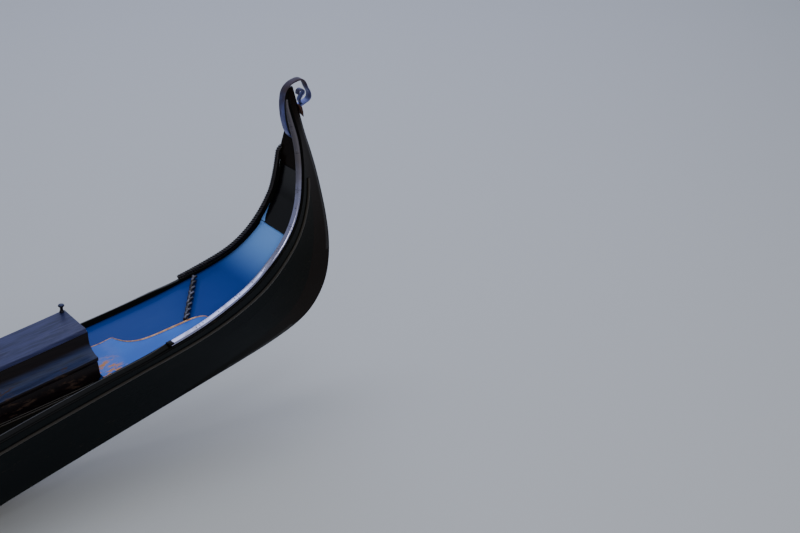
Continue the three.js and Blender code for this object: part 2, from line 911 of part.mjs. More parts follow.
for (const [name, side] of SIDES)
  add(
    name + "_frames",
    join(
      against(STRINGER.from, STRINGER.to, STRINGER.low, STRINGER.high, side, STRINGER.depth),
      ...KNEES.map((x) =>
        against(
          x - KNEE.width / 2,
          x + KNEE.width / 2,
          floorAt(x) + SEAT_GAP,
          STRINGER.low + 6,
          side,
          KNEE.depth,
        ),
      ),
    ),
    "wood",
  );

// Main seat: a box with a cushion, a shaped back and two arms
const SEAT = { x0: -1130, x1: -560, half: 330, top: 372, lean: 108 };
const floorTop = MIDDLE_FLOOR_Z + FLOOR_THICKNESS + SEAT_GAP;
const CUSHION = 74;
const ARM = { thickness: 34, top: 640 };
const BACK = { thickness: 36, shoulder: 720, crest: 900 };
add(
  "seat_box",
  box(SEAT.x0, SEAT.x1, SEAT.lean - SEAT.half, SEAT.lean + SEAT.half, floorTop, SEAT.top),
  "lacquer",
);
add(
  "seat_cushion",
  box(
    SEAT.x0 + 60,
    SEAT.x1 - 4,
    SEAT.lean - SEAT.half + 8,
    SEAT.lean + SEAT.half - 8,
    SEAT.top + SEAT_GAP,
    SEAT.top + CUSHION,
  ),
  "leather",
);
add(
  "back_cushion",
  box(
    SEAT.x0 + SEAT_GAP,
    SEAT.x0 + 58,
    SEAT.lean - SEAT.half + 20,
    SEAT.lean + SEAT.half - 20,
    SEAT.top + SEAT_GAP,
    BACK.shoulder - 20,
  ),
  "leather",
);
function seatBack() {
  const half = SEAT.half + ARM.thickness + 1;
  const shape = new THREE.Shape();
  shape.moveTo(SEAT.lean - half, floorTop);
  shape.lineTo(SEAT.lean + half, floorTop);
  shape.lineTo(SEAT.lean + half, BACK.shoulder);
  shape.quadraticCurveTo(SEAT.lean + half * 0.55, BACK.shoulder + 10, SEAT.lean + half * 0.4, BACK.crest - 50);
  shape.quadraticCurveTo(SEAT.lean, BACK.crest + 60, SEAT.lean - half * 0.4, BACK.crest - 50);
  shape.quadraticCurveTo(SEAT.lean - half * 0.55, BACK.shoulder + 10, SEAT.lean - half, BACK.shoulder);
  const geometry = new THREE.ExtrudeGeometry(shape, {
    depth: BACK.thickness,
    bevelEnabled: false,
    curveSegments: 8,
  });
  geometry.rotateX(Math.PI / 2);
  geometry.rotateZ(Math.PI / 2);
  geometry.translate(SEAT.x0 - SEAT_GAP - BACK.thickness, 0, 0);
  return geometry;
}
add("seat_back", seatBack(), "lacquer");
function armPlate(y) {
  const shape = new THREE.Shape();
  shape.moveTo(SEAT.x0, floorTop);
  shape.lineTo(SEAT.x1, floorTop);
  shape.lineTo(SEAT.x1, SEAT.top + CUSHION + 20);
  shape.quadraticCurveTo(SEAT.x1 - 10, ARM.top, SEAT.x1 - 120, ARM.top - 10);
  shape.quadraticCurveTo(SEAT.x0 + 160, ARM.top - 40, SEAT.x0, ARM.top + 30);
  return profilePlate(shape, y, ARM.thickness);
}
for (const [name, side] of SIDES)
  add(
    name + "_seat_arm",
    armPlate(SEAT.lean + side * (SEAT.half + SEAT_GAP + ARM.thickness / 2)),
    "lacquer",
  );

// Two small side benches ahead of the seat, each with a cushion
const BENCH = { x0: 120, x1: 640, depth: 250, top: 330, cushion: 56 };
for (const [name, side] of SIDES) {
  const outer =
    Math.min(
      ...[BENCH.x0, BENCH.x1].map(
        (x) => side * planksInside(x, floorTop, side, 30),
      ),
    ) * side;
  const inner = outer - side * BENCH.depth;
  const [y0, y1] = [outer, inner].sort((a, b) => a - b);
  add(
    name + "_bench",
    box(BENCH.x0, BENCH.x1, y0, y1, floorTop, BENCH.top),
    "lacquer",
  );
  add(
    name + "_bench_cushion",
    box(
      BENCH.x0 + 8,
      BENCH.x1 - 8,
      y0 + 8,
      y1 - 8,
      BENCH.top + SEAT_GAP,
      BENCH.top + BENCH.cushion,
    ),
    "leather",
  );
}

// Rowlock of carved walnut on its block, on the starboard side
const ROWLOCK = { x: -1950, thickness: 46, block: 74, depth: 96, length: 420 };
const rowlockZ = outside(stationAt(ROWLOCK.x), 1, -1).z + RAIL_HEIGHT;
const rowlockEnds = [-0.5, 0.5].map((share) => ROWLOCK.x + share * ROWLOCK.length);
const rowlockOuter = Math.max(
  ...rowlockEnds.map((x) => outside(stationAt(x), 1, -1).y + RAIL_IN + 1.5),
  ...rowlockEnds.map((x) => planksInside(x, rowlockZ - ROWLOCK.depth, -1)),
);
const rowlockY = rowlockOuter + ROWLOCK.block / 2;
function rowlockShape() {
  const shape = new THREE.Shape();
  const at = (x, z) => [ROWLOCK.x + x, rowlockZ + z];
  shape.moveTo(...at(-52, SEAT_GAP));
  shape.lineTo(...at(52, SEAT_GAP));
  shape.quadraticCurveTo(...at(60, 90), ...at(34, 170));
  shape.quadraticCurveTo(...at(14, 240), ...at(60, 262));
  shape.quadraticCurveTo(...at(92, 278), ...at(96, 330));
  shape.lineTo(...at(74, 344));
  shape.quadraticCurveTo(...at(52, 300), ...at(22, 306));
  shape.quadraticCurveTo(...at(-14, 316), ...at(6, 372));
  shape.quadraticCurveTo(...at(18, 420), ...at(-18, 446));
  shape.lineTo(...at(-44, 438));
  shape.quadraticCurveTo(...at(-40, 380), ...at(-58, 300));
  shape.quadraticCurveTo(...at(-84, 190), ...at(-70, 110));
  return shape;
}
add("rowlock", profilePlate(rowlockShape(), rowlockY, ROWLOCK.thickness, 5), "wood");
add(
  "rowlock_block",
  box(
    ...rowlockEnds,
    rowlockOuter,
    rowlockOuter + ROWLOCK.block,
    rowlockZ - ROWLOCK.depth,
    rowlockZ,
  ),
  "lacquer",
);

// Brass sea horses on both gunwales beside the seat
const HORSE_X = -420;
function horseShape(base) {
  const shape = new THREE.Shape();
  const at = (x, z) => [HORSE_X + x, base + z];
  shape.moveTo(...at(-60, 0));
  shape.lineTo(...at(60, 0));
  shape.lineTo(...at(60, 12));
  shape.lineTo(...at(30, 14));
  shape.quadraticCurveTo(...at(48, 60), ...at(30, 100));
  shape.quadraticCurveTo(...at(70, 96), ...at(86, 130));
  shape.quadraticCurveTo(...at(60, 128), ...at(44, 140));
  shape.quadraticCurveTo(...at(56, 170), ...at(72, 196));
  shape.lineTo(...at(60, 214));
  shape.quadraticCurveTo(...at(40, 206), ...at(28, 232));
  shape.lineTo(...at(12, 236));
  shape.quadraticCurveTo(...at(-24, 200), ...at(-20, 140));
  shape.quadraticCurveTo(...at(-30, 90), ...at(-70, 84));
  shape.quadraticCurveTo(...at(-112, 110), ...at(-96, 150));
  shape.quadraticCurveTo(...at(-132, 120), ...at(-112, 70));
  shape.quadraticCurveTo(...at(-86, 34), ...at(-30, 30));
  shape.lineTo(...at(-60, 12));
  return shape;
}
for (const [name, side] of SIDES) {
  const top = outside(stationAt(HORSE_X), 1, side);
  add(
    name + "_sea_horse",
    profilePlate(
      horseShape(top.z + RAIL_HEIGHT + 11.2),
      top.y - side * 13,
      18,
      4,
    ),
    "brass",
  );
}

// Stern iron: a flat ribbon up the front of the fin that curls over its top
const RIBBON_WIDTH = 40;
const RIBBON = [
  [-5235.4, 1676, 3],
  [-5214, 1702, 5],
  [-5192, 1758, 5],
  [-5182, 1826, 5],
  [-5184, 1896, 5],
  [-5198, 1940, 6],
  [-5227, 1968, 7],
  [-5268, 1980, 7],
  [-5310, 1974, 7],
  [-5340, 1946, 7],
  [-5346, 1906, 7],
  [-5322, 1872, 6],
  [-5296, 1874, 5],
  [-5288, 1896, 4],
];
function ribbonShape(rows, count) {
  const curve = new THREE.CatmullRomCurve3(
    rows.map(([x, z, half]) => point(x, half, z)),
    false,
    "centripetal",
  );
  const sides = [[], []];
  for (let i = 0; i <= count; i++) {
    const p = curve.getPoint(i / count);
    const t = curve.getTangent(i / count);
    const n = new THREE.Vector2(-t.z, t.x).normalize();
    sides[0].push([p.x + n.x * p.y, p.z + n.y * p.y]);
    sides[1].push([p.x - n.x * p.y, p.z - n.y * p.y]);
  }
  const shape = new THREE.Shape();
  [...sides[0], ...sides[1].reverse()].forEach((q, i) =>
    i ? shape.lineTo(...q) : shape.moveTo(...q),
  );
  return shape;
}
add(
  "stern_iron",
  profilePlate(ribbonShape(RIBBON, 40), 0, RIBBON_WIDTH),
  "steel",
);

// Bow iron: a plate up the stem with six teeth forward, one aft, and a broad curved blade on top
const TEETH = { count: 6, first: 1118, pitch: 42, height: 26, tip: 5448, root: 5384 };
const IRON_THICKNESS = 12;
function bowIronShape() {
  const shape = new THREE.Shape();
  const stem = stations(30, LAST).map((r) => {
    const p = fair(r, 0, 0);
    return [p.x + 1, p.z];
  });
  shape.moveTo(...stem[0]);
  stem.slice(1).forEach((p) => shape.lineTo(...p));
  shape.lineTo(5336, 1431);
  shape.lineTo(5214, 1431);
  shape.lineTo(5120, 1418);
  shape.lineTo(5118, 1440);
  shape.lineTo(5214, 1462);
  shape.quadraticCurveTo(5206, 1540, 5262, 1592);
  shape.quadraticCurveTo(5320, 1634, 5384, 1600);
  shape.quadraticCurveTo(5452, 1550, 5449, 1450);
  shape.quadraticCurveTo(5440, 1400, TEETH.root, 1392);
  for (let i = TEETH.count - 1; i >= 0; i--) {
    const z = TEETH.first + i * TEETH.pitch;
    shape.lineTo(TEETH.root, z + TEETH.height);
    shape.lineTo(TEETH.tip, z + TEETH.height);
    shape.lineTo(TEETH.tip, z);
    shape.lineTo(TEETH.root, z);
  }
  shape.quadraticCurveTo(5340, 1000, 5184, 812);
  return shape;
}
add("bow_iron", profilePlate(bowIronShape(), 0, IRON_THICKNESS, 10), "steel");

export default boat;
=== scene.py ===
# %% [markdown]
# # A gondola, in cells
# The boat is 10.9 m long and nearly all of it is black gloss lacquer over wood, so this lesson is about
# fair curves, about reflections, and about the small carved and nailed pieces round the stern. The hull,
# decks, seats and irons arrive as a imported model. Each cell below dresses one piece or makes one finish.

# %% Load the boat
import math
from contextlib import contextmanager

import bpy
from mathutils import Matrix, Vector
from mathutils.bvhtree import BVHTree


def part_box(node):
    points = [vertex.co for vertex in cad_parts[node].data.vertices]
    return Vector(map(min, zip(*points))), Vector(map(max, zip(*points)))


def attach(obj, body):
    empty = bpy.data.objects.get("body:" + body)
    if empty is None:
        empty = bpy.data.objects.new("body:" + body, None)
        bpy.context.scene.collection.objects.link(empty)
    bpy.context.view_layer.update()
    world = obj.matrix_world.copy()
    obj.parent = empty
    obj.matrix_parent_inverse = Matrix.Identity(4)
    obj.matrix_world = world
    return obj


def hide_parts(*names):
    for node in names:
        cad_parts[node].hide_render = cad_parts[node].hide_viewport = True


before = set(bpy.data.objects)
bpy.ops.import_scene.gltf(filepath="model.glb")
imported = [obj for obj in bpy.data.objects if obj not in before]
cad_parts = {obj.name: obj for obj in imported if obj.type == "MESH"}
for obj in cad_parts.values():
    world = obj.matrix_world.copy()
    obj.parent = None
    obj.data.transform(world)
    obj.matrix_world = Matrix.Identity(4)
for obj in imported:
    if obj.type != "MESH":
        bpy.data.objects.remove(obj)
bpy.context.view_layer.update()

# %% [markdown]
# ## Camera
# The picture looks down 27 degrees on the stern from above the port side, with a long lens. The bow leaves
# the frame at the lower left. A long lens keeps the rails' curves true, because near and far come out at
# almost one scale.

# %% Camera over the port quarter
EYE = Vector((-1.326, 6.124, 4.612))
HEADING = math.radians(37)
PITCH = math.radians(27)
FOCAL_PIXELS = 1500
PICTURE_WIDTH = 800
SENSOR_WIDTH = 36


def look_direction():
    level = math.cos(PITCH)
    return Vector((-math.sin(HEADING) * level, -math.cos(HEADING) * level, -math.sin(PITCH)))


lens = bpy.data.cameras.new("camera")
lens.sensor_width = SENSOR_WIDTH
lens.lens = SENSOR_WIDTH * FOCAL_PIXELS / PICTURE_WIDTH
lens.clip_end = 200
eye = bpy.data.objects.new("camera", lens)
bpy.context.collection.objects.link(eye)
eye.location = EYE
eye.rotation_euler = look_direction().to_track_quat("-Z", "Y").to_euler()
bpy.context.scene.camera = eye
print("lens", round(lens.lens, 1), "mm")

# %% [markdown]
# ## Helpers for working as by hand
# Blender's operators act on whatever is selected, so one helper deselects everything and picks one object.
# Others add and apply a modifier, open a piece in edit mode, and put a piece's place, turn and scale into
# its mesh. The last two merge and smooth a finished piece, and give it its name, its finish and the body
# that it moves with.


# %% Select, apply and finish
SAME_PLACE = 0.00002


def pick(*objects):
    bpy.ops.object.select_all(action="DESELECT")
    for chosen in objects:
        chosen.select_set(True)
    bpy.context.view_layer.objects.active = objects[-1]
    return objects[-1]


def modify(piece, kind, **settings):
    pick(piece)
    modifier = piece.modifiers.new(kind.lower(), kind)
    for name, value in settings.items():
        setattr(modifier, name, value)
    bpy.ops.object.modifier_apply(modifier=modifier.name)
    return piece


@contextmanager
def editing(piece):
    pick(piece)
    bpy.ops.object.mode_set(mode="EDIT")
    bpy.ops.mesh.select_all(action="SELECT")
    yield
    bpy.ops.object.mode_set(mode="OBJECT")


def fixed(piece):
    pick(piece)
    bpy.ops.object.transform_apply(location=True, rotation=True, scale=True)
    return piece


def settle(piece, angle=35):
    with editing(fixed(piece)):
        bpy.ops.mesh.remove_doubles(threshold=SAME_PLACE)
        bpy.ops.mesh.normals_make_consistent(inside=False)
    bpy.ops.object.shade_smooth_by_angle(angle=math.radians(angle))
    return piece


def dress(piece, name, material, body="hull"):
    piece.name = name
    piece.data.name = name
    piece.data.materials.clear()
    piece.data.materials.append(material)
    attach(piece, body)
    return piece


# %% [markdown]
# ## A fair copy
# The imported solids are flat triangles, which would break a glossy reflection into facets. A copy of a solid
# is merged, its triangles are paired back into four-sided faces, and its corners are held by creases while
# a subdivision surface draws a smooth skin over the rest. The copy stands in for the solid and keeps its
# form.


# %% Copy a solid and make it fair
SAME_CORNER = 0.00003
FLAT_ENOUGH = math.radians(0.3)
QUAD_FLATNESS = math.radians(60)
QUAD_SHAPE = math.radians(100)


def fair_copy(node, levels=2, corner=32, angle=35, hold=1.0):
    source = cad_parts[node]
    copy = source.copy()
    copy.data = source.data.copy()
    copy.parent = None
    copy.matrix_world = source.matrix_world.copy()
    bpy.context.collection.objects.link(copy)
    with editing(copy):
        bpy.ops.mesh.remove_doubles(threshold=SAME_CORNER)
        if not levels:
            bpy.ops.mesh.dissolve_limited(angle_limit=FLAT_ENOUGH)
        bpy.ops.mesh.tris_convert_to_quads(face_threshold=QUAD_FLATNESS, shape_threshold=QUAD_SHAPE)
        bpy.ops.mesh.select_all(action="DESELECT")
        bpy.ops.mesh.select_mode(type="EDGE")
        bpy.ops.mesh.edges_select_sharp(sharpness=math.radians(corner))
        bpy.ops.transform.edge_crease(value=hold)
    if levels:
        modify(copy, "SUBSURF", levels=levels, render_levels=levels)
    return settle(copy, angle)


# %% [markdown]
# ## Shader sums written as Python
# A material is a sum of masks. One small class wraps a socket, so that grain * 0.4 + dust adds the Math
# nodes by itself. Anything that isn't a sum on plain numbers comes from one method that names the node, its
# settings and the values of its sockets.


# %% Wires and finishes
class Wire:
    def __init__(self, finish, socket):
        self.finish = finish
        self.socket = socket

    def sum(self, operation, *others):
        return self.finish.add("ShaderNodeMath", {"operation": operation}, [self, *others])

    def __add__(self, other):
        return self.sum("ADD", other)

    __radd__ = __add__

    def __mul__(self, other):
        return self.sum("MULTIPLY", other)

    __rmul__ = __mul__

    def __sub__(self, other):
        return self.sum("SUBTRACT", other)

    def __rsub__(self, other):
        return self.finish.add("ShaderNodeMath", {"operation": "SUBTRACT"}, [other, self])

    def __truediv__(self, other):
        return self.sum("DIVIDE", other)

    def between(self, low, high):
        values = {"Value": self, "From Min": low, "From Max": high}
        return self.finish.add("ShaderNodeMapRange", {"interpolation_type": "SMOOTHSTEP"}, values)


class Finish:
    def __init__(self, name):
        self.material = bpy.data.materials.new(name)
        self.material.use_nodes = True
        self.nodes = self.material.node_tree.nodes
        self.links = self.material.node_tree.links
        self.nodes.clear()
        output = self.nodes.new("ShaderNodeOutputMaterial")
        self.shader = self.nodes.new("ShaderNodeBsdfPrincipled")
        self.links.new(self.shader.outputs[0], output.inputs["Surface"])
        self.place = self.add("ShaderNodeTexCoord", {}, {}, "Object")

    def plug(self, value, socket):
        if isinstance(value, Wire):
            self.links.new(value.socket, socket)
        else:
            socket.default_value = value

    def add(self, kind, settings, values, output=0):
        node = self.nodes.new(kind)
        for name, value in settings.items():
            setattr(node, name, value)
        pairs = values.items() if isinstance(values, dict) else enumerate(values)
        for key, value in pairs:
            self.plug(value, node.inputs[key])
        return Wire(self, node.outputs[output])

    def noise(self, scale, stretch=(1, 1, 1), detail=3, roughness=0.5):
        place = self.add("ShaderNodeMapping", {}, {"Vector": self.place, "Scale": stretch})
        values = {"Vector": place, "Scale": scale, "Detail": detail, "Roughness": roughness}
        return self.add("ShaderNodeTexNoise", {}, values)

    def axis(self, name):
        return self.add("ShaderNodeSeparateXYZ", {}, [self.place], name)

    def facing(self):
        normal = self.add("ShaderNodeNewGeometry", {}, {}, "Normal")
        return self.add("ShaderNodeSeparateXYZ", {}, [normal], "Z")

    def blend(self, share, first, second):
        node = self.nodes.new("ShaderNodeMix")
        node.data_type = "RGBA"
        self.plug(share, node.inputs["Factor"])
        for value, socket in ((first, node.inputs[6]), (second, node.inputs[7])):
            self.plug(value if isinstance(value, Wire) else (*value, 1), socket)
        return Wire(self, node.outputs[2])

    def bump(self, height, strength, distance):
        values = {"Height": height, "Strength": strength, "Distance": distance}
        return self.add("ShaderNodeBump", {}, values)

    def paint(self, **sockets):
        for name, value in sockets.items():
            socket = self.shader.inputs[name.replace("_", " ")]
            colour = isinstance(value, tuple) and len(value) == 3
            self.plug((*value, 1) if colour else value, socket)
        return self.material


# %% [markdown]
# ## Lacquer
# Every gondola is painted in many coats of black gloss. The coat is never a mirror: it has a slight ripple
# where the brush went, fine dust on what faces up, a dull bloom of salt low on the sides, and scratches
# that show the wood. The ripple goes in the bump, and the rest goes in the roughness and the colour. The
# specular level is low, because deep black lacquer shows the sky only at a glance. On the sides and the
# post the black turns warmer toward the stern.


# %% Black lacquer
DUST = (0.03, 0.032, 0.04)
SALT_BLOOM = (0.035, 0.04, 0.032)
WOOD_IN_SCRATCHES = (0.06, 0.04, 0.025)
SALT_HEIGHTS = (0.18, 0.40)
WARM_FROM, WARM_TO = -4.7, -5.2


def black_lacquer(name, base, gloss=0.12, dusty=0.5, shine=0.3, scuffed=0.0, warm=None):
    finish = Finish(name)
    ripple = finish.noise(22, (0.3, 1, 1), 2)
    fleck = finish.noise(420, detail=2)
    cloud = finish.noise(5, (0.5, 1, 1), 4)
    up = finish.facing().between(0.5, 1.0)
    dust = up * cloud.between(0.3, 0.75) * dusty
    salt = 1 - finish.axis("Z").between(*SALT_HEIGHTS)
    worn = cloud.between(0.5, 0.8) * fleck.between(0.42, 0.7)
    scratch = finish.noise(90, (0.06, 1, 1.4), 5, 0.7).between(0.6, 0.75)
    scratch = scratch * cloud.between(0.45, 0.62) * scuffed
    if warm:
        aft = 1 - (finish.axis("X") + cloud * 0.2).between(WARM_TO, WARM_FROM)
        base = finish.blend(aft, base, warm)
    grimy = finish.blend(dust * 0.45, base, DUST)
    salted = finish.blend(salt * (worn * 0.5 + 0.22), grimy, SALT_BLOOM)
    colour = finish.blend(scratch, salted, WOOD_IN_SCRATCHES)
    rough = gloss + dust * 0.2 + salt * 0.2 + worn * 0.05 + scratch * 0.3
    normal = finish.bump(ripple + fleck * 0.015 - scratch * 0.2, 0.1, 0.004)
    return finish.paint(Base_Color=colour, Roughness=rough, Normal=normal, Specular_IOR_Level=shine)


WARM_BLACK = (0.0085, 0.0052, 0.0036)
WARM_SIDE = (0.0028, 0.0030, 0.0016)
SIDE_BLACK = black_lacquer("side_lacquer", (0.0042, 0.006, 0.0072), 0.2, 0.2, 0.035, 0.6, WARM_SIDE)
POST_BLACK = black_lacquer("post_lacquer", (0.0016, 0.0021, 0.0017), 0.22, 0.2, 0.03, 0.4, WARM_BLACK)
RAIL_BLACK = black_lacquer("rail_lacquer", (0.0032, 0.003, 0.0027), 0.2, 0.1, 0.05, 0.7)
BLACK = black_lacquer("black_lacquer", (0.005, 0.0045, 0.0055), 0.16, 0.5, 0.25, 0.2)
# A lighter lacquer for the line on the rail's edge: a painted highlight.
RAIL_HIGHLIGHT = black_lacquer("rail_highlight_lacquer", (0.045, 0.045, 0.055), 0.25, 0.4, 0.4, 0.6)
BEAD_BROWN = black_lacquer("bead_lacquer", (0.032, 0.026, 0.02), 0.3, 0.6, 0.35, 0.8)

# %% [markdown]
# ## Painted decks
# The stern deck is the one bright surface: a deep blue gloss whose colour pales toward the fin, a painted
# reflection of the sky. Brush marks run lengthwise, with grime in small specks. The raised board is painted a
# lighter blue than the deck, painted light for the sky that it faces, and it is worn to its orange undercoat
# by the cover's foot. Under the cover both are left black.


# %% Blue gloss paint
COVER_END = -3.93
DECK_SHINE = 0.09
BOARD_SHINE = 0.22
UNDER_COVER = (0.006, 0.006, 0.005)
ORANGE_UNDERCOAT = (0.55, 0.25, 0.09)


def blue_paint(name, deep, pale, paling_from, paling_to, gloss=0.2):
    finish = Finish(name)
    along = finish.axis("X")
    brush = finish.noise(60, (0.05, 1, 1), 4, 0.6)
    cloud = finish.noise(3.2, (0.6, 1, 1), 4)
    speck = finish.noise(260, detail=3)
    # The colour pales toward the fin: a painted sky reflection.
    painted_paling = 1 - along.between(paling_from, paling_to)
    paling_and_mottle = painted_paling + (cloud - 0.5) * 0.08 + (brush - 0.5) * 0.015
    colour = finish.blend(paling_and_mottle.sum("MAXIMUM", 0.0).sum("MINIMUM", 1.0), deep, pale)
    grime = speck.between(0.6, 0.78) * cloud.between(0.4, 0.7) * 0.3
    colour = finish.blend(grime, colour, (0.02, 0.03, 0.05))
    ahead = (along + cloud * 0.01).between(COVER_END - 0.002, COVER_END + 0.012)
    colour = finish.blend(ahead, colour, UNDER_COVER)
    rough = gloss + brush * 0.04 + grime * 0.4
    normal = finish.bump(cloud * 2.0 + speck * 0.06, 0.04, 0.002)
    return finish.paint(Base_Color=colour, Roughness=rough, Normal=normal, Specular_IOR_Level=DECK_SHINE)


def board_paint():
    finish = Finish("board_blue")
    cloud = finish.noise(4, detail=4)
    brush = finish.noise(60, (0.05, 1, 1), 4, 0.6)
    chip = finish.noise(38, (0.5, 1, 1), 5, 0.65)
    place = finish.axis("X")
    outer = finish.axis("Y")
    foot = place.between(-4.10, -4.02) * outer.between(0.07, 0.16)
    bare = foot * chip.between(0.5, 0.56)
    # Both blues are lighter than the deck's: painted light for the sky that the board faces.
    blue = finish.blend(cloud.between(0.35, 0.7), (0.014, 0.12, 0.58), (0.03, 0.18, 0.72))
    violet = place.between(-4.14, -4.04) * cloud.between(0.4, 0.6) * 0.5
    blue = finish.blend(violet, blue, (0.2, 0.22, 0.62))
    colour = finish.blend(bare, blue, ORANGE_UNDERCOAT)
    ahead = place.between(COVER_END - 0.002, COVER_END + 0.012)
    colour = finish.blend(ahead, colour, UNDER_COVER)
    rough = 0.2 + brush * 0.1 + bare * 0.35
    normal = finish.bump(brush * 0.3 - bare * 0.8, 0.1, 0.002)
    return finish.paint(Base_Color=colour, Roughness=rough, Normal=normal, Specular_IOR_Level=BOARD_SHINE)


DECK_BLUE = blue_paint("deck_blue", (0.002, 0.042, 0.27), (0.21, 0.45, 0.98), -5.12, -4.82, 0.22)
BOARD_BLUE = board_paint()

# %% [markdown]
# ## Timber
# Several woods show: the oiled walnut of the rowlock, the varnish of the floors, the ribs and the locker
# door, and the cover on the stern deck, whose black paint has chipped along the grain and is given a violet
# grey that is a painted sky reflection. They are one sum: grain that is noise drawn out along the board,
# wider bands of the same noise, seams between boards, and wear on top. The cover's sides have a sum of their
# own, because their colour carries a painted sky reflection only where they face up.


# %% Wood with grain along X
BARE_WOOD = (0.2, 0.13, 0.08)
SEAM_BLACK = (0.008, 0.006, 0.005)


def timber(name, dark, light, gloss, grain, wear=0.0, bare=BARE_WOOD, boards=0.0, along="X", shine=0.4):
    finish = Finish(name)
    stretch = {"X": (0.03, 1, 1), "Y": (1, 0.03, 1), "Z": (1, 1, 0.03)}[along]
    fibre = finish.noise(grain, stretch, 6, 0.65)
    band = finish.noise(grain * 0.16, stretch, 3)
    pore = finish.noise(grain * 6, stretch, 2)
    blotch = finish.noise(7, detail=4)
    tone = fibre * 0.55 + band * 0.45
    colour = finish.blend(tone.between(0.32, 0.68), dark, light)
    height = fibre * 0.6 + pore * 0.15
    rough = gloss + pore * 0.14
    if boards:
        stripe = (finish.axis("Y" if along == "X" else "X") / boards).sum("FRACT")
        seam = (stripe - 0.5).sum("ABSOLUTE").between(0.465, 0.495)
        colour = finish.blend(seam, colour, SEAM_BLACK)
        height = height - seam * 1.5
    if wear:
        chip = blotch.between(0.56, 0.66) * fibre.between(0.42, 0.58) * wear
        colour = finish.blend(chip, colour, bare)
        height = height - chip * 0.9
        rough = rough + chip * 0.3
    normal = finish.bump(height, 0.3, 0.003)
    return finish.paint(Base_Color=colour, Roughness=rough, Normal=normal, Specular_IOR_Level=shine)


SIDE_SHINE = 0.16
# The cover's violet greys are a painted sky reflection on black paint.
SKY_VIOLET = ((0.010, 0.013, 0.048), (0.046, 0.054, 0.165))
COVER_PAINT = timber("weathered_sky_violet", *SKY_VIOLET, 0.36, 60, 0.35, (0.10, 0.10, 0.17), shine=0.22)


def cover_side():
    finish = Finish("weathered_black_sky_sheen")
    fibre = finish.noise(60, (0.03, 1, 1), 6, 0.65)
    chip = finish.noise(30, (0.25, 1, 1), 5, 0.7)
    cloud = finish.noise(7, detail=4)
    up = finish.facing().between(0.32, 0.8)
    colour = finish.blend(fibre.between(0.32, 0.68), (0.0035, 0.002, 0.003), (0.009, 0.0055, 0.0065))
    # Blue on the parts that face up: a painted sky reflection.
    colour = finish.blend(up * fibre.between(0.1, 0.7), colour, (0.026, 0.040, 0.110))
    outer = finish.axis("Y").sum("ABSOLUTE").between(0.165, 0.20)
    bare = outer * chip.between(0.50, 0.58) * cloud.between(0.42, 0.55)
    colour = finish.blend(bare, colour, (0.055, 0.032, 0.022))
    rough = fibre * 0.15 + bare * 0.3 + 0.24
    normal = finish.bump(fibre * 0.7 + chip * 0.5 - bare * 0.8, 0.3, 0.003)
    return finish.paint(Base_Color=colour, Roughness=rough, Normal=normal, Specular_IOR_Level=SIDE_SHINE)


COVER_SIDE = cover_side()
FLOOR_BOARD = 0.11
FLOOR_WOOD = timber(
    "floor_varnish", (0.03, 0.014, 0.007), (0.09, 0.045, 0.02), 0.34, 50, 0.5, (0.12, 0.08, 0.05), FLOOR_BOARD
)
RIB_WOOD = timber("oiled_frame", (0.035, 0.017, 0.008), (0.1, 0.05, 0.024), 0.32, 50, 0.2, along="Z")
WALNUT = timber("oiled_walnut", (0.035, 0.014, 0.006), (0.15, 0.07, 0.03), 0.22, 45, along="Z")
DOOR_WOOD = timber("door_varnish", (0.04, 0.017, 0.007), (0.13, 0.06, 0.026), 0.26, 60, along="Z")

# %% [markdown]
# ## Metals
# The rail band is white metal, rubbed by hands and dulled between. Its lavender tint is a painted sky
# reflection, and the brown where it climbs the fin is a painted reflection too. The stern iron is dark and
# bluish with a film of oil, and the bow iron is scratched bright steel. The sea horses and the hinge are cast
# brass, bright in some patches and brown in others.


# %% Bright, oiled and cast metal
def metal(name, bright, dull, gloss, grime=0.5, dents=0.2, brown_heights=None, brown=(0.085, 0.072, 0.07)):
    finish = Finish(name)
    scratch = finish.noise(160, (0.08, 1, 1), 5, 0.7)
    cloud = finish.noise(14, detail=4)
    pit = finish.noise(500, detail=2)
    dirt = cloud.between(0.45, 0.72) * grime
    colour = finish.blend(dirt, bright, dull)
    rough = gloss + scratch * 0.14 + dirt * 0.3
    shine = 1.0 - dirt * 0.5
    # Brown toward the top; on the rail band this is a painted reflection.
    if brown_heights:
        brown_top = (finish.axis("Z") + cloud * 0.1).between(*brown_heights) * 0.9
        colour = finish.blend(brown_top, colour, brown)
        rough = rough + brown_top * 0.3
        shine = shine - brown_top * 0.5
    normal = finish.bump(scratch * 0.1 + cloud * dents + pit * 0.05, 0.12, 0.002)
    return finish.paint(Base_Color=colour, Metallic=shine, Roughness=rough, Normal=normal)


BAND_REFLECTED_BROWN = (1.35, 1.66)
IRON_BROWNED = (1.92, 2.02)
IRON_BROWN = (0.05, 0.03, 0.035)
# The band's lavender is a painted sky reflection, and its brown above the fin is a painted reflection.
BAND_METAL = metal("rail_band_metal", (0.48, 0.48, 0.70), (0.20, 0.18, 0.21), 0.1, 0.5, 0.03, BAND_REFLECTED_BROWN)
IRON = metal("oiled_iron", (0.13, 0.15, 0.36), (0.05, 0.045, 0.09), 0.28, 0.7, 0.2, IRON_BROWNED, IRON_BROWN)
RUST = metal("rusted_iron", (0.09, 0.045, 0.035), (0.05, 0.03, 0.025), 0.5, 0.9)
BOW_STEEL = metal("bow_steel", (0.62, 0.64, 0.70), (0.2, 0.19, 0.2), 0.2, 0.4)
BRASS = metal("cast_brass", (0.83, 0.58, 0.22), (0.16, 0.09, 0.035), 0.2, 0.8)
NAIL_METAL = metal("nail_metal", (0.2, 0.19, 0.24), (0.05, 0.04, 0.04), 0.3)


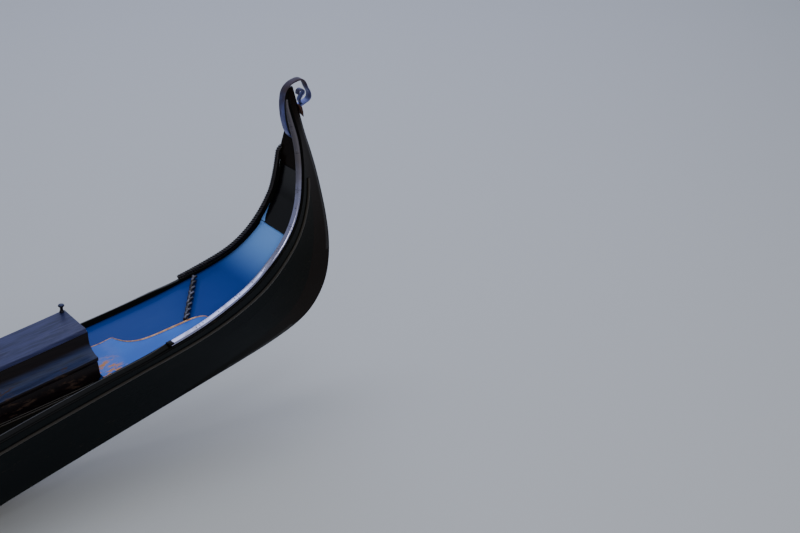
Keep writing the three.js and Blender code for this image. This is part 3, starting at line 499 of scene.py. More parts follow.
# %% [markdown]
# ## Gilding, rope and leather
# The orange line on the board's edge is old gilding over orange bole, and it is rubbed through in places.
# The carved rope is black, with pale crowns in patches where it faces up: partly rubbed wear and partly a
# painted highlight. The cushions are black leather with a fine grain and soft creases.


# %% Gilding, carved rope, leather
def gilding():
    finish = Finish("old_gilding")
    patch = finish.noise(60, detail=4)
    colour = finish.blend(patch.between(0.35, 0.6), (0.42, 0.19, 0.085), (0.72, 0.42, 0.22))
    colour = finish.blend(patch.between(0.66, 0.72) * 0.7, colour, (0.06, 0.05, 0.08))
    normal = finish.bump(patch, 0.2, 0.001)
    return finish.paint(Base_Color=colour, Metallic=0.25, Roughness=patch * 0.3 + 0.3, Normal=normal)


def lit_and_rubbed_black(name, pale=(0.16, 0.16, 0.24), amount=1.0):
    finish = Finish(name)
    patch = finish.noise(75, detail=4)
    fine = finish.noise(300, detail=2)
    # Pale on up-facing crowns, in patches: rubbed wear and a painted highlight.
    up = finish.facing().between(0.35, 0.95)
    lit_and_rubbed = up * patch.between(0.42, 0.62) * amount
    colour = finish.blend(lit_and_rubbed, (0.009, 0.007, 0.009), pale)
    normal = finish.bump(patch * 0.4 + fine * 0.2, 0.2, 0.001)
    return finish.paint(Base_Color=colour, Roughness=0.3 + fine * 0.15, Normal=normal)


def leather(name, base=(0.008, 0.007, 0.009)):
    finish = Finish(name)
    values = {"Vector": finish.place, "Scale": 340, "Randomness": 0.9}
    grain = finish.add("ShaderNodeTexVoronoi", {"feature": "DISTANCE_TO_EDGE"}, values)
    crease = finish.noise(22, detail=5, roughness=0.7)
    soft = finish.noise(6, detail=3)
    colour = finish.blend(soft.between(0.4, 0.7) * 0.5, base, (0.03, 0.026, 0.03))
    height = grain.between(0.0, 0.12) * 0.5 + crease * 0.8
    rough = 0.36 + soft * 0.16 - grain.between(0.0, 0.1) * 0.06
    return finish.paint(Base_Color=colour, Roughness=rough, Normal=finish.bump(height, 0.35, 0.0016))


GILT = gilding()
ROPE_BLACK = lit_and_rubbed_black("carved_rope")
RAIL_ROPE = lit_and_rubbed_black("carved_rail_rope", (0.075, 0.07, 0.085), 0.8)
LEATHER = leather("black_leather")

# %% [markdown]
# ## First dressing
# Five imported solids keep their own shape, and each gets the finish of the real piece. The others turn black
# here, and a later cell puts a finer piece with its own finish in the place of each.

# %% Give each node a finish
DRESSING = {
    "bottom": SIDE_BLACK,
    "aft_step_riser": FLOOR_WOOD,
    "fore_step_riser": FLOOR_WOOD,
    "locker_door": DOOR_WOOD,
    "locker_hinge": BRASS,
}
for name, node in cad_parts.items():
    node.data.materials.clear()
    node.data.materials.append(DRESSING.get(name, BLACK))

# %% [markdown]
# ## The hull's skin
# Planks, posts, rails, beads and decks are long fair curves. Each is replaced by its own fair copy, so that
# reflections run down the whole side without a break. The corners of the rails are held a little less than
# the others, which leaves them rounder.

# %% Fair hull
RAIL_HOLD = 0.8
HULL_SKIN = {
    "stern_post": POST_BLACK,
    "stem_post": SIDE_BLACK,
    "port_lower_plank": SIDE_BLACK,
    "port_upper_plank": SIDE_BLACK,
    "starboard_lower_plank": SIDE_BLACK,
    "starboard_upper_plank": SIDE_BLACK,
    "port_gunwale": RAIL_BLACK,
    "starboard_gunwale": RAIL_BLACK,
    "port_rubbing_bead": BEAD_BROWN,
    "starboard_rubbing_bead": BEAD_BROWN,
    "stern_deck": DECK_BLUE,
    "port_foredeck": BLACK,
    "starboard_foredeck": BLACK,
}
for node, finish in HULL_SKIN.items():
    hold = RAIL_HOLD if "gunwale" in node else 1.0
    skin = dress(fair_copy(node, hold=hold), "fair_" + node, finish)
    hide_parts(node)
print("fair pieces:", len(HULL_SKIN))

# %% [markdown]
# ## Softened joinery
# No edge of a painted boat is sharp: each has been sanded and painted many times. The flat pieces are
# copied and given a small rounded bevel on every corner over 40 degrees, which catches a thin line of
# light.

# %% Bevelled copies of the flat pieces
SHARP_ENOUGH = 40
JOINERY = {
    "stern_end_deck": (BLACK, 0.002),
    "port_covering_board": (BOARD_BLUE, 0.0015),
    "cover_body": (COVER_SIDE, 0.004),
    "cover_top": (COVER_PAINT, 0.005),
    "aft_deck_beam": (BLACK, 0.003),
    "fore_deck_beam": (BLACK, 0.003),
    "aft_bulkhead": (BLACK, 0.002),
    "fore_bulkhead": (BLACK, 0.002),
    "middle_floor": (FLOOR_WOOD, 0.002),
    "aft_floor": (FLOOR_WOOD, 0.002),
    "fore_floor": (FLOOR_WOOD, 0.002),
    "aft_thwart": (FLOOR_WOOD, 0.005),
    "fore_thwart": (FLOOR_WOOD, 0.005),
    "port_frames": (RIB_WOOD, 0.004),
    "starboard_frames": (RIB_WOOD, 0.004),
    "rowlock_block": (WALNUT, 0.008),
    "bow_iron": (BOW_STEEL, 0.002),
    "seat_box": (BLACK, 0.004),
    "seat_back": (BLACK, 0.005),
    "port_seat_arm": (BLACK, 0.006),
    "starboard_seat_arm": (BLACK, 0.006),
    "port_bench": (BLACK, 0.005),
    "starboard_bench": (BLACK, 0.005),
}
for node, (finish, width) in JOINERY.items():
    board = fair_copy(node, 0)
    rounding = {"width": width, "segments": 3, "limit_method": "ANGLE"}
    modify(board, "BEVEL", angle_limit=math.radians(SHARP_ENOUGH), **rounding)
    settle(board, SHARP_ENOUGH)
    dress(board, "soft_" + node, finish)
    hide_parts(node)
print("softened pieces:", len(JOINERY))

# %% [markdown]
# ## Bars, beads and ropes from curves
# A rail moulding, a bent iron and a rope all follow a line. Each line is drawn as a Bezier curve through a
# short table of places, given a round section, and turned into a mesh.


# %% Draw along a line
def metres(table):
    return [Vector(row[:3]) / 1000 for row in table]


def rounded_to(values, places=3):
    return [round(value, places) for value in values]


def length_of(places):
    return sum((second - first).length for first, second in zip(places, places[1:]))


def line_through(places, closed=False, steps=6):
    bpy.ops.object.select_all(action="DESELECT")
    bpy.ops.curve.primitive_bezier_curve_add()
    curve = bpy.context.object
    curve.data.dimensions = "3D"
    curve.data.resolution_u = steps
    spline = curve.data.splines[0]
    spline.bezier_points.add(len(places) - 2)
    spline.use_cyclic_u = closed
    for knot, place in zip(spline.bezier_points, places):
        knot.co = place
        knot.handle_left_type = "AUTO"
        knot.handle_right_type = "AUTO"
        knot.radius = 1
    return curve


def drawn(places, depth, radii=None, closed=False, steps=6, bevel=3, extrude=0.0):
    curve = line_through(places, closed, steps)
    curve.data.bevel_depth = depth
    curve.data.bevel_resolution = bevel
    curve.data.extrude = extrude
    curve.data.use_fill_caps = True
    for knot, radius in zip(curve.data.splines[0].bezier_points, radii or []):
        knot.radius = radius
    pick(curve)
    bpy.ops.object.convert(target="MESH")
    return bpy.context.object


def joined(pieces):
    pick(*pieces)
    if len(pieces) > 1:
        bpy.ops.object.join()
    return bpy.context.object


# %% [markdown]
# ## Places on a surface
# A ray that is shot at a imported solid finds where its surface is, so that trim can lie on it. A few pieces
# are built from a list of points, and nails and buttons are flattened spheres.


# %% Find places on a surface, and build from points
ABOVE_ALL = 4
DOWN = Vector((0, 0, -1))


def corners_of(node):
    return [Vector(corner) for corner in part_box(node)]


def surface_of(piece):
    corners = [vertex.co for vertex in piece.data.vertices]
    return BVHTree.FromPolygons(corners, [face.vertices for face in piece.data.polygons])


def node_surface(node):
    return surface_of(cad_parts[node])


def under(surface, x, y):
    return surface.ray_cast(Vector((x, y, ABOVE_ALL)), DOWN)[0]


def on_top(surface, place):
    return under(surface, place[0], place[1]) or Vector(place)


def from_points(points, edges=(), faces=()):
    bpy.ops.object.select_all(action="DESELECT")
    bpy.ops.mesh.primitive_plane_add(size=1)
    piece = bpy.context.object
    piece.data.clear_geometry()
    piece.data.from_pydata(points, edges, faces)
    return pick(piece)


def dome(place, up, radius, flatness, sides):
    bpy.ops.object.select_all(action="DESELECT")
    bpy.ops.mesh.primitive_uv_sphere_add(segments=sides, ring_count=8, radius=radius)
    cap = bpy.context.object
    cap.scale = (1, 1, flatness)
    cap.rotation_euler = up.to_track_quat("Z", "Y").to_euler()
    cap.location = place
    return fixed(cap)


# %% Twist strands into a rope
STRAND_SIZE = 0.53
STRAND_PLACE = 0.47


def twisted(places, radius, pitch, strands=3, sides=10, steps=16):
    path = line_through(places, steps=12)
    path.data.use_stretch = True
    path.data.use_deform_bounds = True
    length = length_of(places)
    turns = length / pitch
    count = int(steps * turns)
    turning = {"angle": math.tau * turns, "screw_offset": length, "steps": count, "render_steps": count}
    made = []
    for strand in range(strands):
        size = radius * STRAND_SIZE
        bpy.ops.mesh.primitive_circle_add(vertices=sides, radius=size, rotation=(0, math.pi / 2, 0))
        ring = bpy.context.object
        ring.location = (0, radius * STRAND_PLACE, 0)
        fixed(ring)
        ring.rotation_euler = (math.tau * strand / strands, 0, 0)
        fixed(ring)
        modify(ring, "SCREW", axis="X", **turning)
        with editing(ring):
            bpy.ops.mesh.fill_holes(sides=sides)
        made.append(ring)
    rope = joined(made)
    modify(rope, "CURVE", object=path, deform_axis="POS_X")
    bpy.data.objects.remove(path)
    return settle(rope, 50)


# %% [markdown]
# ## The metal band
# The port rail of the stern carries a half-round band of white metal, nailed on in lengths. Its fair copy
# keeps only its lower corners. A fine dark seam shows where two lengths meet, with a small domed nail on
# each side of it and a few between, and a black block holds the band's fore end. Each row of the table
# gives a place on the band's crown in millimetres, the direction that faces up from it in thousandths, and
# the band's width in millimetres.

# %% Band, nails and seams
BAND_LINE = [
    (-5197, 22, 1897, 951, 212, 226, 12),
    (-5190, 27, 1867, 955, 291, 48, 18),
    (-5197, 45, 1782, 868, 496, -11, 34),
    (-5210, 70, 1698, 790, 610, 70, 34),
    (-5209, 87, 1628, 787, 597, 156, 34),
    (-5204, 102, 1560, 794, 582, 174, 34),
    (-5197, 111, 1507, 803, 566, 186, 34),
    (-5189, 118, 1457, 819, 535, 207, 34),
    (-5179, 125, 1407, 827, 503, 250, 34),
    (-5166, 132, 1360, 812, 469, 347, 34),
    (-5146, 139, 1310, 784, 431, 447, 34),
    (-5119, 146, 1262, 751, 405, 522, 34),
    (-5087, 151, 1215, 708, 382, 594, 34),
    (-5049, 156, 1170, 645, 346, 681, 34),
    (-4998, 163, 1124, 571, 322, 755, 34),
    (-4942, 171, 1082, 494, 271, 826, 34),
    (-4885, 182, 1049, 414, 222, 883, 34),
    (-4824, 197, 1021, 337, 249, 908, 34),
    (-4753, 210, 994, 283, 276, 919, 34),
    (-4676, 222, 968, 250, 290, 924, 34),
    (-4586, 235, 941, 221, 316, 923, 34),
    (-4492, 246, 918, 175, 353, 919, 34),
    (-4395, 256, 898, 133, 392, 910, 34),
    (-4310, 263, 885, 115, 399, 910, 34),
]
BAND_SEAMS = [2.3, 4.1, 7.5, 11.2, 13.4, 15.3, 18.2, 21.0]
SEAM_ACROSS = [(-0.5, -0.008), (-0.3, -0.0022), (0, 0.0004), (0.3, -0.0022), (0.5, -0.008)]
NAIL_FROM_SEAM = 0.22
NAILS_BETWEEN = [5.8, 9.4, 16.7, 19.7]
SEAM_RADIUS = 0.0011
NAIL_RADIUS = 0.0034
END_BLOCK = (0.030, 0.036, 0.011)


def band_place(share):
    index = min(int(share), len(BAND_LINE) - 2)
    part = share - index
    first, second = BAND_LINE[index], BAND_LINE[index + 1]
    mixed = [a + (b - a) * part for a, b in zip(first, second)]
    along = (Vector(second[:3]) - Vector(first[:3])).normalized()
    up = Vector(mixed[3:6]).normalized()
    return Vector(mixed[:3]) / 1000, up, along, mixed[6] / 1000


band = dress(fair_copy("port_rail_band", 2, 60), "rail_band", BAND_METAL)
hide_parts("port_rail_band")
seams = []
for share in BAND_SEAMS:
    place, up, along, width = band_place(share)
    across = up.cross(along).normalized() * width
    crossing = [place + across * aside + up * rise for aside, rise in SEAM_ACROSS]
    seams.append(drawn(crossing, SEAM_RADIUS, steps=3, bevel=1))
dress(settle(joined(seams)), "band_seams", BLACK)
nails = []
by_seams = [seam + step for seam in BAND_SEAMS for step in (-NAIL_FROM_SEAM, NAIL_FROM_SEAM)]
for share in sorted(by_seams + NAILS_BETWEEN):
    place, up, along, width = band_place(share)
    nails.append(dome(place + up * 0.0002, up, NAIL_RADIUS, 0.5, 12))
dress(settle(joined(nails)), "band_nails", NAIL_METAL)
place, up, along, width = band_place(len(BAND_LINE) - 1)
bpy.ops.mesh.primitive_cube_add(size=1, location=place - up * 0.003)
block = bpy.context.object
block.scale = END_BLOCK
block.rotation_euler = along.to_track_quat("X", "Z").to_euler()
modify(fixed(block), "BEVEL", width=0.003, segments=3)
dress(settle(block), "band_end_block", RAIL_BLACK)
print("nails on the band:", len(nails))

# %% [markdown]
# ## A thin line on the port rail
# Forward of the band the port rail is plain black, with one thin paler bead along the inner edge of its top:
# a painted highlight where the rounded edge catches the light.
# The table gives the middle of the rail, and the bead is laid a little inward of it, on the rail's own
# surface.

# %% Rail bead
RAIL_TOPS = [
    (-4290, 260, 880), (-4190, 268, 862), (-4097, 274, 846), (-4020, 280, 837), (-3937, 287, 828),
    (-3776, 307, 811), (-3597, 332, 794), (-3401, 364, 776), (-3197, 403, 759),
]
BEAD_INWARD = Vector((0, -0.012, 0))
BEAD_RADIUS = 0.0022
rail_surface = node_surface("port_gunwale")
bead_places = [on_top(rail_surface, place + BEAD_INWARD) for place in metres(RAIL_TOPS)]
# The bead's paler lacquer is a painted highlight.
rail_highlight = dress(settle(drawn(bead_places, BEAD_RADIUS, bevel=2)), "rail_highlight_bead", RAIL_HIGHLIGHT)
print("rail line:", len(bead_places), "places,", round(rail_highlight.dimensions.x, 2), "m long")

# %% [markdown]
# ## Ropes
# Two carved ropes dress the stern: one of three strands lies along the starboard rail, and one of two fat
# strands crosses the deck from the rail to the board. The strands are swept round a straight line by a
# Screw modifier, and a Curve modifier lays them along their path.

# %% The rail rope and the deck rope
RAIL_ROPE_LINE = [
    (-5228, -78, 1603), (-5215, -91, 1576), (-5213, -95, 1558), (-5208, -103, 1505), (-5201, -110, 1454),
    (-5192, -117, 1403), (-5180, -124, 1354), (-5159, -132, 1303), (-5132, -139, 1253), (-5099, -145, 1205),
    (-5059, -150, 1159), (-5008, -157, 1111), (-4950, -166, 1068), (-4892, -179, 1034), (-4830, -193, 1005),
    (-4758, -206, 978), (-4680, -217, 953), (-4636, -223, 940),
]
RAIL_ROPE_RADIUS = 0.0125
RAIL_ROPE_PITCH = 0.042
rail_places = []
knots = metres(RAIL_ROPE_LINE)
for index, place in enumerate(knots):
    ahead = knots[min(index + 1, len(knots) - 1)] - knots[max(index - 1, 0)]
    lift = ahead.normalized().cross(Vector((0, -1, 0))).normalized()
    rail_places.append(place - lift * RAIL_ROPE_RADIUS * 0.8)
rail_rope = dress(twisted(rail_places, RAIL_ROPE_RADIUS, RAIL_ROPE_PITCH), "twisted_rail_rope", RAIL_ROPE)
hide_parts("starboard_rail_rope")

DECK_ROPE_RADIUS = 0.017
DECK_ROPE_PITCH = 0.094
DECK_ROPE_STEPS = 8
start, stop = Vector((-4.706, -0.171, 0.97)), Vector((-4.484, 0.122, 0.92))
bar = node_surface("deck_rope")
deck_places = [start.lerp(stop, step / DECK_ROPE_STEPS) for step in range(DECK_ROPE_STEPS + 1)]
for place in deck_places[1:-1]:
    place.z = on_top(bar, place).z
deck_places[0].z = 2 * deck_places[1].z - deck_places[2].z
deck_places[-1].z = 2 * deck_places[-2].z - deck_places[-3].z
deck_places = [place + DOWN * DECK_ROPE_RADIUS * 0.96 for place in deck_places]
deck_rope = twisted(deck_places, DECK_ROPE_RADIUS, DECK_ROPE_PITCH, 2, 12, 40)
dress(deck_rope, "twisted_deck_rope", ROPE_BLACK)
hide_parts("deck_rope")
print("rope lies from", rounded_to(deck_places[0]), "to", rounded_to(deck_places[-1]))

# %% [markdown]
# ## The gilt line
# A rounded gilt bead runs round the free edge of the blue covering board. It is thin at its ends and
# thickest where the edge swings across the deck. Each row of the table gives a place and the bead's radius
# there, in millimetres.

# %% Gilt bead on the board's edge
BOARD_EDGE = [
    (-4573, 189, 912, 3.0), (-4566, 168, 910, 3.5), (-4536, 142, 903, 4.5), (-4501, 130, 896, 5.5),
    (-4446, 123, 885, 6.0), (-4390, 117, 875, 6.0), (-4335, 112, 866, 5.5), (-4281, 105, 858, 5.0),
    (-4231, 92, 851, 4.5), (-4181, 58, 844, 4.0), (-4156, 19, 841, 3.5), (-4144, -12, 839, 3.0),
    (-4136, -33, 838, 2.6), (-4116, -36, 835, 2.4), (-4070, -32, 830, 2.4), (-3950, -50, 814, 2.4),
]
edge_places = metres(BOARD_EDGE)
gilt = drawn(edge_places, 0.001, [row[3] for row in BOARD_EDGE])
dress(settle(gilt), "gilt_edge", GILT)
print("gilt edge of", round(length_of(edge_places), 2), "m")

# %% [markdown]
# ## The stern iron
# A flat iron strap rises from the fin, bends over its top and curls inwards, with a small brown leaf in the
# curl's foot. Each is a curve in the boat's middle plane, extruded to the strap's width with a rounded
# edge. The tables give length and height in millimetres.

# %% Strap, curl and leaf
STRAP = [
    (-5235, 1676), (-5214, 1702), (-5194, 1758), (-5184, 1826), (-5186, 1896), (-5199, 1940), (-5228, 1968),
    (-5266, 1981), (-5294, 1982), (-5312, 1972), (-5331, 1934), (-5349, 1890), (-5345, 1870), (-5316, 1853),
    (-5286, 1842),
]
CURL = [
    (-5300, 1848), (-5288, 1868), (-5300, 1892), (-5314, 1908), (-5304, 1925), (-5286, 1922), (-5279, 1902),
]
LEAF = [(-5284, 1846), (-5292, 1826), (-5300, 1800), (-5313, 1772)]
LEAF_SWELL = [0.9, 1.7, 1.5, 0.3]


def bent(table, depth, width, radii=None):
    places = [Vector((x / 1000, z / 1000, 0)) for x, z in table]
    flat = drawn(places, depth, radii, extrude=width, steps=8)
    flat.rotation_euler = (math.pi / 2, 0, 0)
    return fixed(flat)


leaf = bent(LEAF, 0.006, 0.004, LEAF_SWELL)
dress(settle(leaf, 50), "strap_leaf", RUST)
strap = joined([bent(CURL, 0.0034, 0.014), bent(STRAP, 0.0046, 0.018)])
dress(settle(strap, 50), "stern_strap", IRON)
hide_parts("stern_iron")
print("strap spans", rounded_to(strap.dimensions))

# %% [markdown]
# ## Knob and mouldings of the cover
# The cover on the stern deck has a small turned knob and thin mouldings where its foot meets the deck. A
# turned piece is half an outline, spun round its own axis by a Screw modifier.


# %% Turn a profile
TURNED_STEPS = 28


def turned(profile, place):
    curve = line_through([Vector((x / 1000, 0, z / 1000)) for x, z in profile], steps=4)
    pick(curve)
    bpy.ops.object.convert(target="MESH")
    piece = bpy.context.object
    turning = {"angle": math.tau, "steps": TURNED_STEPS, "render_steps": TURNED_STEPS}
    modify(piece, "SCREW", axis="Z", use_merge_vertices=True, merge_threshold=0.0002, **turning)
    piece.location = place
    return settle(piece, 50)


KNOB = [(0, -1), (12, 0), (9, 9), (7.5, 17), (8.5, 25), (13, 30), (16, 35), (13.5, 40), (6, 42), (0, 42)]
knob_low, knob_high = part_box("cover_knob")
knob_middle = [0.5 * (low + high) for low, high in zip(knob_low, knob_high)]
knob = turned(KNOB, (knob_middle[0], knob_middle[1], knob_low[2]))
dress(knob, "turned_knob", COVER_SIDE)
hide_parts("cover_knob")

deck_surface = node_surface("stern_deck")
COVER_FEET = ((1, 0.262), (-1, -0.194))
FOOT_BEADS = ((0.004, 0.004), (0.016, 0.0025))
FOOT_START, FOOT_STEP, FOOT_PLACES = -3.935, 0.065, 14
mouldings = []
for side, edge in COVER_FEET:
    for lift, depth in FOOT_BEADS:
        line = []
        for step in range(FOOT_PLACES):
            x = FOOT_START + step * FOOT_STEP
            deck = on_top(deck_surface, (x, edge + side * 0.004, 0))
            line.append(Vector((x, edge + side * 0.0005, deck.z + lift)))
        mouldings.append(drawn(line, depth, steps=3))
foot = dress(settle(joined(mouldings)), "cover_foot_moulding", BEAD_BROWN)
print("mouldings:", rounded_to(foot.dimensions))

# %% [markdown]
# ## The notch behind the end deck
# Between the fin and the end deck the real post is filled out by a wedge. It is the convex hull of a few
# corners: seven that are mirrored in the boat's middle plane, and three more on the starboard side.

# %% Wedge of the fin
WEDGE = [
    (-5236, 66, 1700), (-5237, 83, 1628), (-5243, 78, 1629), (-5233, 98, 1557), (-5249, 86, 1560),
    (-5227, 87, 1505), (-5249, 87, 1505),
]
corners = [Vector((x, side * y, z)) / 1000 for x, y, z in WEDGE for side in (1, -1)]
corners += metres([(-5217, -94, 1578), (-5212, -97, 1540), (-5228, -80, 1606)])
wedge = from_points(corners)
with editing(wedge):
    bpy.ops.mesh.convex_hull()
dress(settle(wedge), "fin_wedge", POST_BLACK)
print("wedge faces:", len(wedge.data.polygons))

# %% [markdown]
# ## The corner of the end deck
# The starboard corner of the black end deck is cut away in a small curve, and the blue paint runs up
# through it. The sliver is a thin skin laid on the end deck, between its edge and that curve.

# %% Blue sliver
SLIVER_ROWS = 10
SLIVER_EDGE, SLIVER_INNER = -0.1335, -0.100
end_surface = node_surface("stern_end_deck")
deck_foot = [Vector((-5.094, y, 1.174)) for y in (SLIVER_EDGE, SLIVER_INNER)]
sliver_points = [deck_surface.find_nearest(place)[0] + Vector((0, 0, 0.0012)) for place in deck_foot]
for step in range(SLIVER_ROWS + 1):
    share = step / SLIVER_ROWS
    x, z = -5.107 - 0.056 * share, 1.200 + 0.072 * share
    for y in (SLIVER_EDGE + 0.006 * share, SLIVER_INNER - 0.028 * share ** 0.55):
        sliver_points.append(end_surface.find_nearest(Vector((x, y, z)))[0] + Vector((0.0007, 0, 0.0007)))
sliver_faces = [(2 * row, 2 * row + 1, 2 * row + 3, 2 * row + 2) for row in range(SLIVER_ROWS + 1)]
sliver = modify(from_points(sliver_points, faces=sliver_faces), "SOLIDIFY", thickness=0.0012, offset=0)
dress(settle(sliver), "blue_corner", DECK_BLUE)
print("sliver spans", rounded_to(sliver.dimensions))

# %% [markdown]
# ## Cushions
# A cushion is never a block: pressure from its filling crowns the top, the seams pull in between the
# corners, and each sewn button makes a dimple with folds running to it. A slightly small block is remeshed
# into even cells, its buttons are pinned low, and Blender's cloth is blown up for twenty frames. How far a
# point may move is capped, so that the pad stays within a few millimetres of the space that its solid
# holds. The table gives the way a cushion's face looks, its buttons across and along, its filling, and how
# far a point may move.


# %% Blow up a buttoned cushion
VOXEL = 0.009
SEAM_ALLOWANCE = 0.014
BUTTON_REACH = 0.05
DIMPLE_WIDTH = 0.022
PIN_REACH = 0.012
DIMPLE_DEPTH = 0.3
FACE_DEPTH = 0.45
STANDS_PROUD = 0.008
PRESSURE = 4
BLOWN_FRAMES = 20


def dimpled(pad, buttons, up, face, thickness):
    pins = pad.vertex_groups.new(name="buttons")
    for vertex in pad.data.vertices:
        for button in buttons:
            flat = vertex.co - Vector(button)
            flat -= up * flat.dot(up)
            near = flat.length
            if near < BUTTON_REACH and face - vertex.co.dot(up) < thickness * FACE_DEPTH:
                vertex.co -= up * thickness * DIMPLE_DEPTH * math.exp(-((near / DIMPLE_WIDTH) ** 2))
                if near < PIN_REACH:
                    pins.add([vertex.index], 1.0, "REPLACE")


def blown_up(pad, low, high, up, reach):
    before = [vertex.co.copy() for vertex in pad.data.vertices]
    cloth = pad.modifiers.new("cloth", "CLOTH")
    cloth.settings.effector_weights.gravity = 0
    cloth.settings.use_pressure = True
    cloth.settings.uniform_pressure_force = PRESSURE
    cloth.settings.vertex_group_mass = "buttons"
    cloth.settings.quality = 5
    cloth.point_cache.frame_start = 1
    cloth.point_cache.frame_end = BLOWN_FRAMES
    for moment in range(1, BLOWN_FRAMES + 1):
        bpy.context.scene.frame_set(moment)
    pick(pad)
    bpy.ops.object.modifier_apply(modifier="cloth")
    bpy.context.scene.frame_set(1)
    for vertex, start in zip(pad.data.vertices, before):
        step = vertex.co - start
        if step.length > reach:
            vertex.co = start + step.normalized() * reach
        for axis in range(3):
            top = high[axis] + STANDS_PROUD * up[axis]
            vertex.co[axis] = min(max(vertex.co[axis], low[axis] + 0.001), top)


def cloth_pad(node, buttons, up, reach):
    low, high = corners_of(node)
    size = high - low
    thickness = min(size)
    bpy.ops.object.select_all(action="DESELECT")
    bpy.ops.mesh.primitive_cube_add(size=1, location=(low + high) / 2)
    pad = bpy.context.object
    pad.scale = size - Vector((SEAM_ALLOWANCE, SEAM_ALLOWANCE, SEAM_ALLOWANCE))
    modify(fixed(pad), "BEVEL", width=thickness * 0.3, segments=4)
    modify(pad, "REMESH", mode="VOXEL", voxel_size=VOXEL)
    dimpled(pad, buttons, up, max(up.dot(corner) for corner in (low, high)), thickness)
    blown_up(pad, low, high, up, reach)
    modify(pad, "SMOOTH", factor=0.4, iterations=2)
    modify(pad, "SUBSURF", levels=1, render_levels=1)
    settle(pad, 80)
    dress(pad, "pad_" + node, LEATHER)
    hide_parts(node)
    return pad


def button_places(node, up, across, along):
    low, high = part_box(node)
    height = (low[2] + high[2]) / 2 if up[2] else (low[0] + high[0]) / 2
    first, second = (0, 1) if up[2] else (2, 1)
    places = []
    for column in range(across):
        for row in range(along):
            place = [height, height, height]
            place[first] = low[first] + (high[first] - low[first]) * (column + 0.5) / across
            place[second] = low[second] + (high[second] - low[second]) * (row + 0.5) / along
            places.append(tuple(place))
    return places


# %% Piping and buttons on a pad
BUTTON_RADIUS = 0.011
PIPING_RADIUS = 0.0042
PIPING_STEPS = 48
SQUARENESS = 0.35


def sewn_button(surface, place, up, low, high):
    start = Vector(place)
    start += up * (max(up.dot(low), up.dot(high)) + 0.05 - start.dot(up))
    point = surface.ray_cast(start, -up)[0] or start
    return settle(dome(point + up * 0.001, up, BUTTON_RADIUS, 0.45, 14), 60)


def piping(surface, up, low, high, share):
    axes = [axis for axis in range(3) if abs(up[axis]) < 0.5]
    level = low.dot(up) + (high - low).dot(up) * share
    half = (high - low) / 2
    loop = []
    for step in range(PIPING_STEPS):
        turn = math.tau * step / PIPING_STEPS
        place = (low + high) / 2
        reach = [math.copysign(abs(f(turn)) ** SQUARENESS, f(turn)) for f in (math.cos, math.sin)]
        for axis, amount in zip(axes, reach):
            place[axis] += half[axis] * amount
        place += up * (level - place.dot(up))
        point, normal = surface.find_nearest(place)[:2]
        loop.append(point - normal * 0.001)
    return drawn(loop, PIPING_RADIUS, closed=True, steps=4, bevel=2)


def trimmings(pad, node, buttons, up):
    low, high = corners_of(node)
    surface = surface_of(pad)
    pieces = [sewn_button(surface, place, up, low, high) for place in buttons]
    pieces += [piping(surface, up, low, high, share) for share in (0.2, 0.8)]
    dress(settle(joined(pieces), 60), "trim_" + node, LEATHER)


# %% Four cushions
CUSHIONS = [
    ("seat_cushion", (0, 0, 1), 3, 4, 0.7, 0.020),
    ("back_cushion", (1, 0, 0), 3, 5, 0.6, 0.018),
    ("port_bench_cushion", (0, 0, 1), 4, 2, 0.7, 0.016),
    ("starboard_bench_cushion", (0, 0, 1), 4, 2, 0.7, 0.016),
]
for node, facing, across, along, fill, reach in CUSHIONS:
    up = Vector(facing)
    buttons = button_places(node, up, across, along)
    pad = cloth_pad(node, buttons, up, reach)
    trimmings(pad, node, buttons, up)
    print(node, "points:", len(pad.data.vertices), "size", rounded_to(pad.dimensions))

# %% [markdown]
# ## Smooth castings and the rowlock
# The rowlock is sawn and rasped from one block of walnut, and the sea horses are cast. Both have no hard
# edge at all, so their copies are remeshed into small cells and smoothed, which rounds every corner.


# %% Round a solid all over
ROUNDED = [
    ("rowlock", 0.006, 8, "rasped_rowlock", WALNUT, "oiled_wood"),
    ("port_sea_horse", 0.0035, 6, "cast_port_sea_horse", BRASS, "brass"),
    ("starboard_sea_horse", 0.0035, 6, "cast_starboard_sea_horse", BRASS, "brass"),
]
for node, voxel, passes, name, material, slot in ROUNDED:
    piece = fair_copy(node, 0)
    modify(piece, "REMESH", mode="VOXEL", voxel_size=voxel)
    modify(piece, "SMOOTH", factor=0.5, iterations=passes)
    modify(piece, "SUBSURF", levels=1, render_levels=1)
    dress(settle(piece, 80), name, material)
    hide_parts(node)
    print(name, len(piece.data.polygons), "faces")

# %% [markdown]
# ## Carving on the seat
# The high back of the seat carries gilt scrolls on a bowed stem, as such seats have. The scrolls are curves
# that wind in and taper, mirrored about the middle of the back. Each row of the first table gives a
# scroll's distance from the middle, height, size, turns, starting angle and hand.


# %% Scrolls and stem
SCROLLS = [
    (0.085, 0.80, 0.045, 1.6, 3.6, 1),
    (0.200, 0.745, 0.038, 1.5, 2.4, -1),
    (0.295, 0.735, 0.028, 1.4, 3.4, 1),
]
STEM = [
    (-0.315, 0.718), (-0.24, 0.716), (-0.13, 0.735), (-0.05, 0.765), (0, 0.775), (0.05, 0.765), (0.13, 0.735),
    (0.24, 0.716), (0.315, 0.718),
]
SCROLL_RADIUS = 0.0055
STEM_RADIUS = 0.006


def scroll(middle, size, turns, start, hand):
    places, radii = [], []
    count = int(turns * 10)
    for step in range(count + 1):
        share = step / count
        reach = size * (1 - share) ** 0.8 + size * 0.12
        angle = start + hand * math.tau * turns * share
        places.append(middle + Vector((0, math.cos(angle) * reach, math.sin(angle) * reach)))
        radii.append(1.0 - 0.45 * share)
    return drawn(places, SCROLL_RADIUS, radii, steps=4, bevel=2)


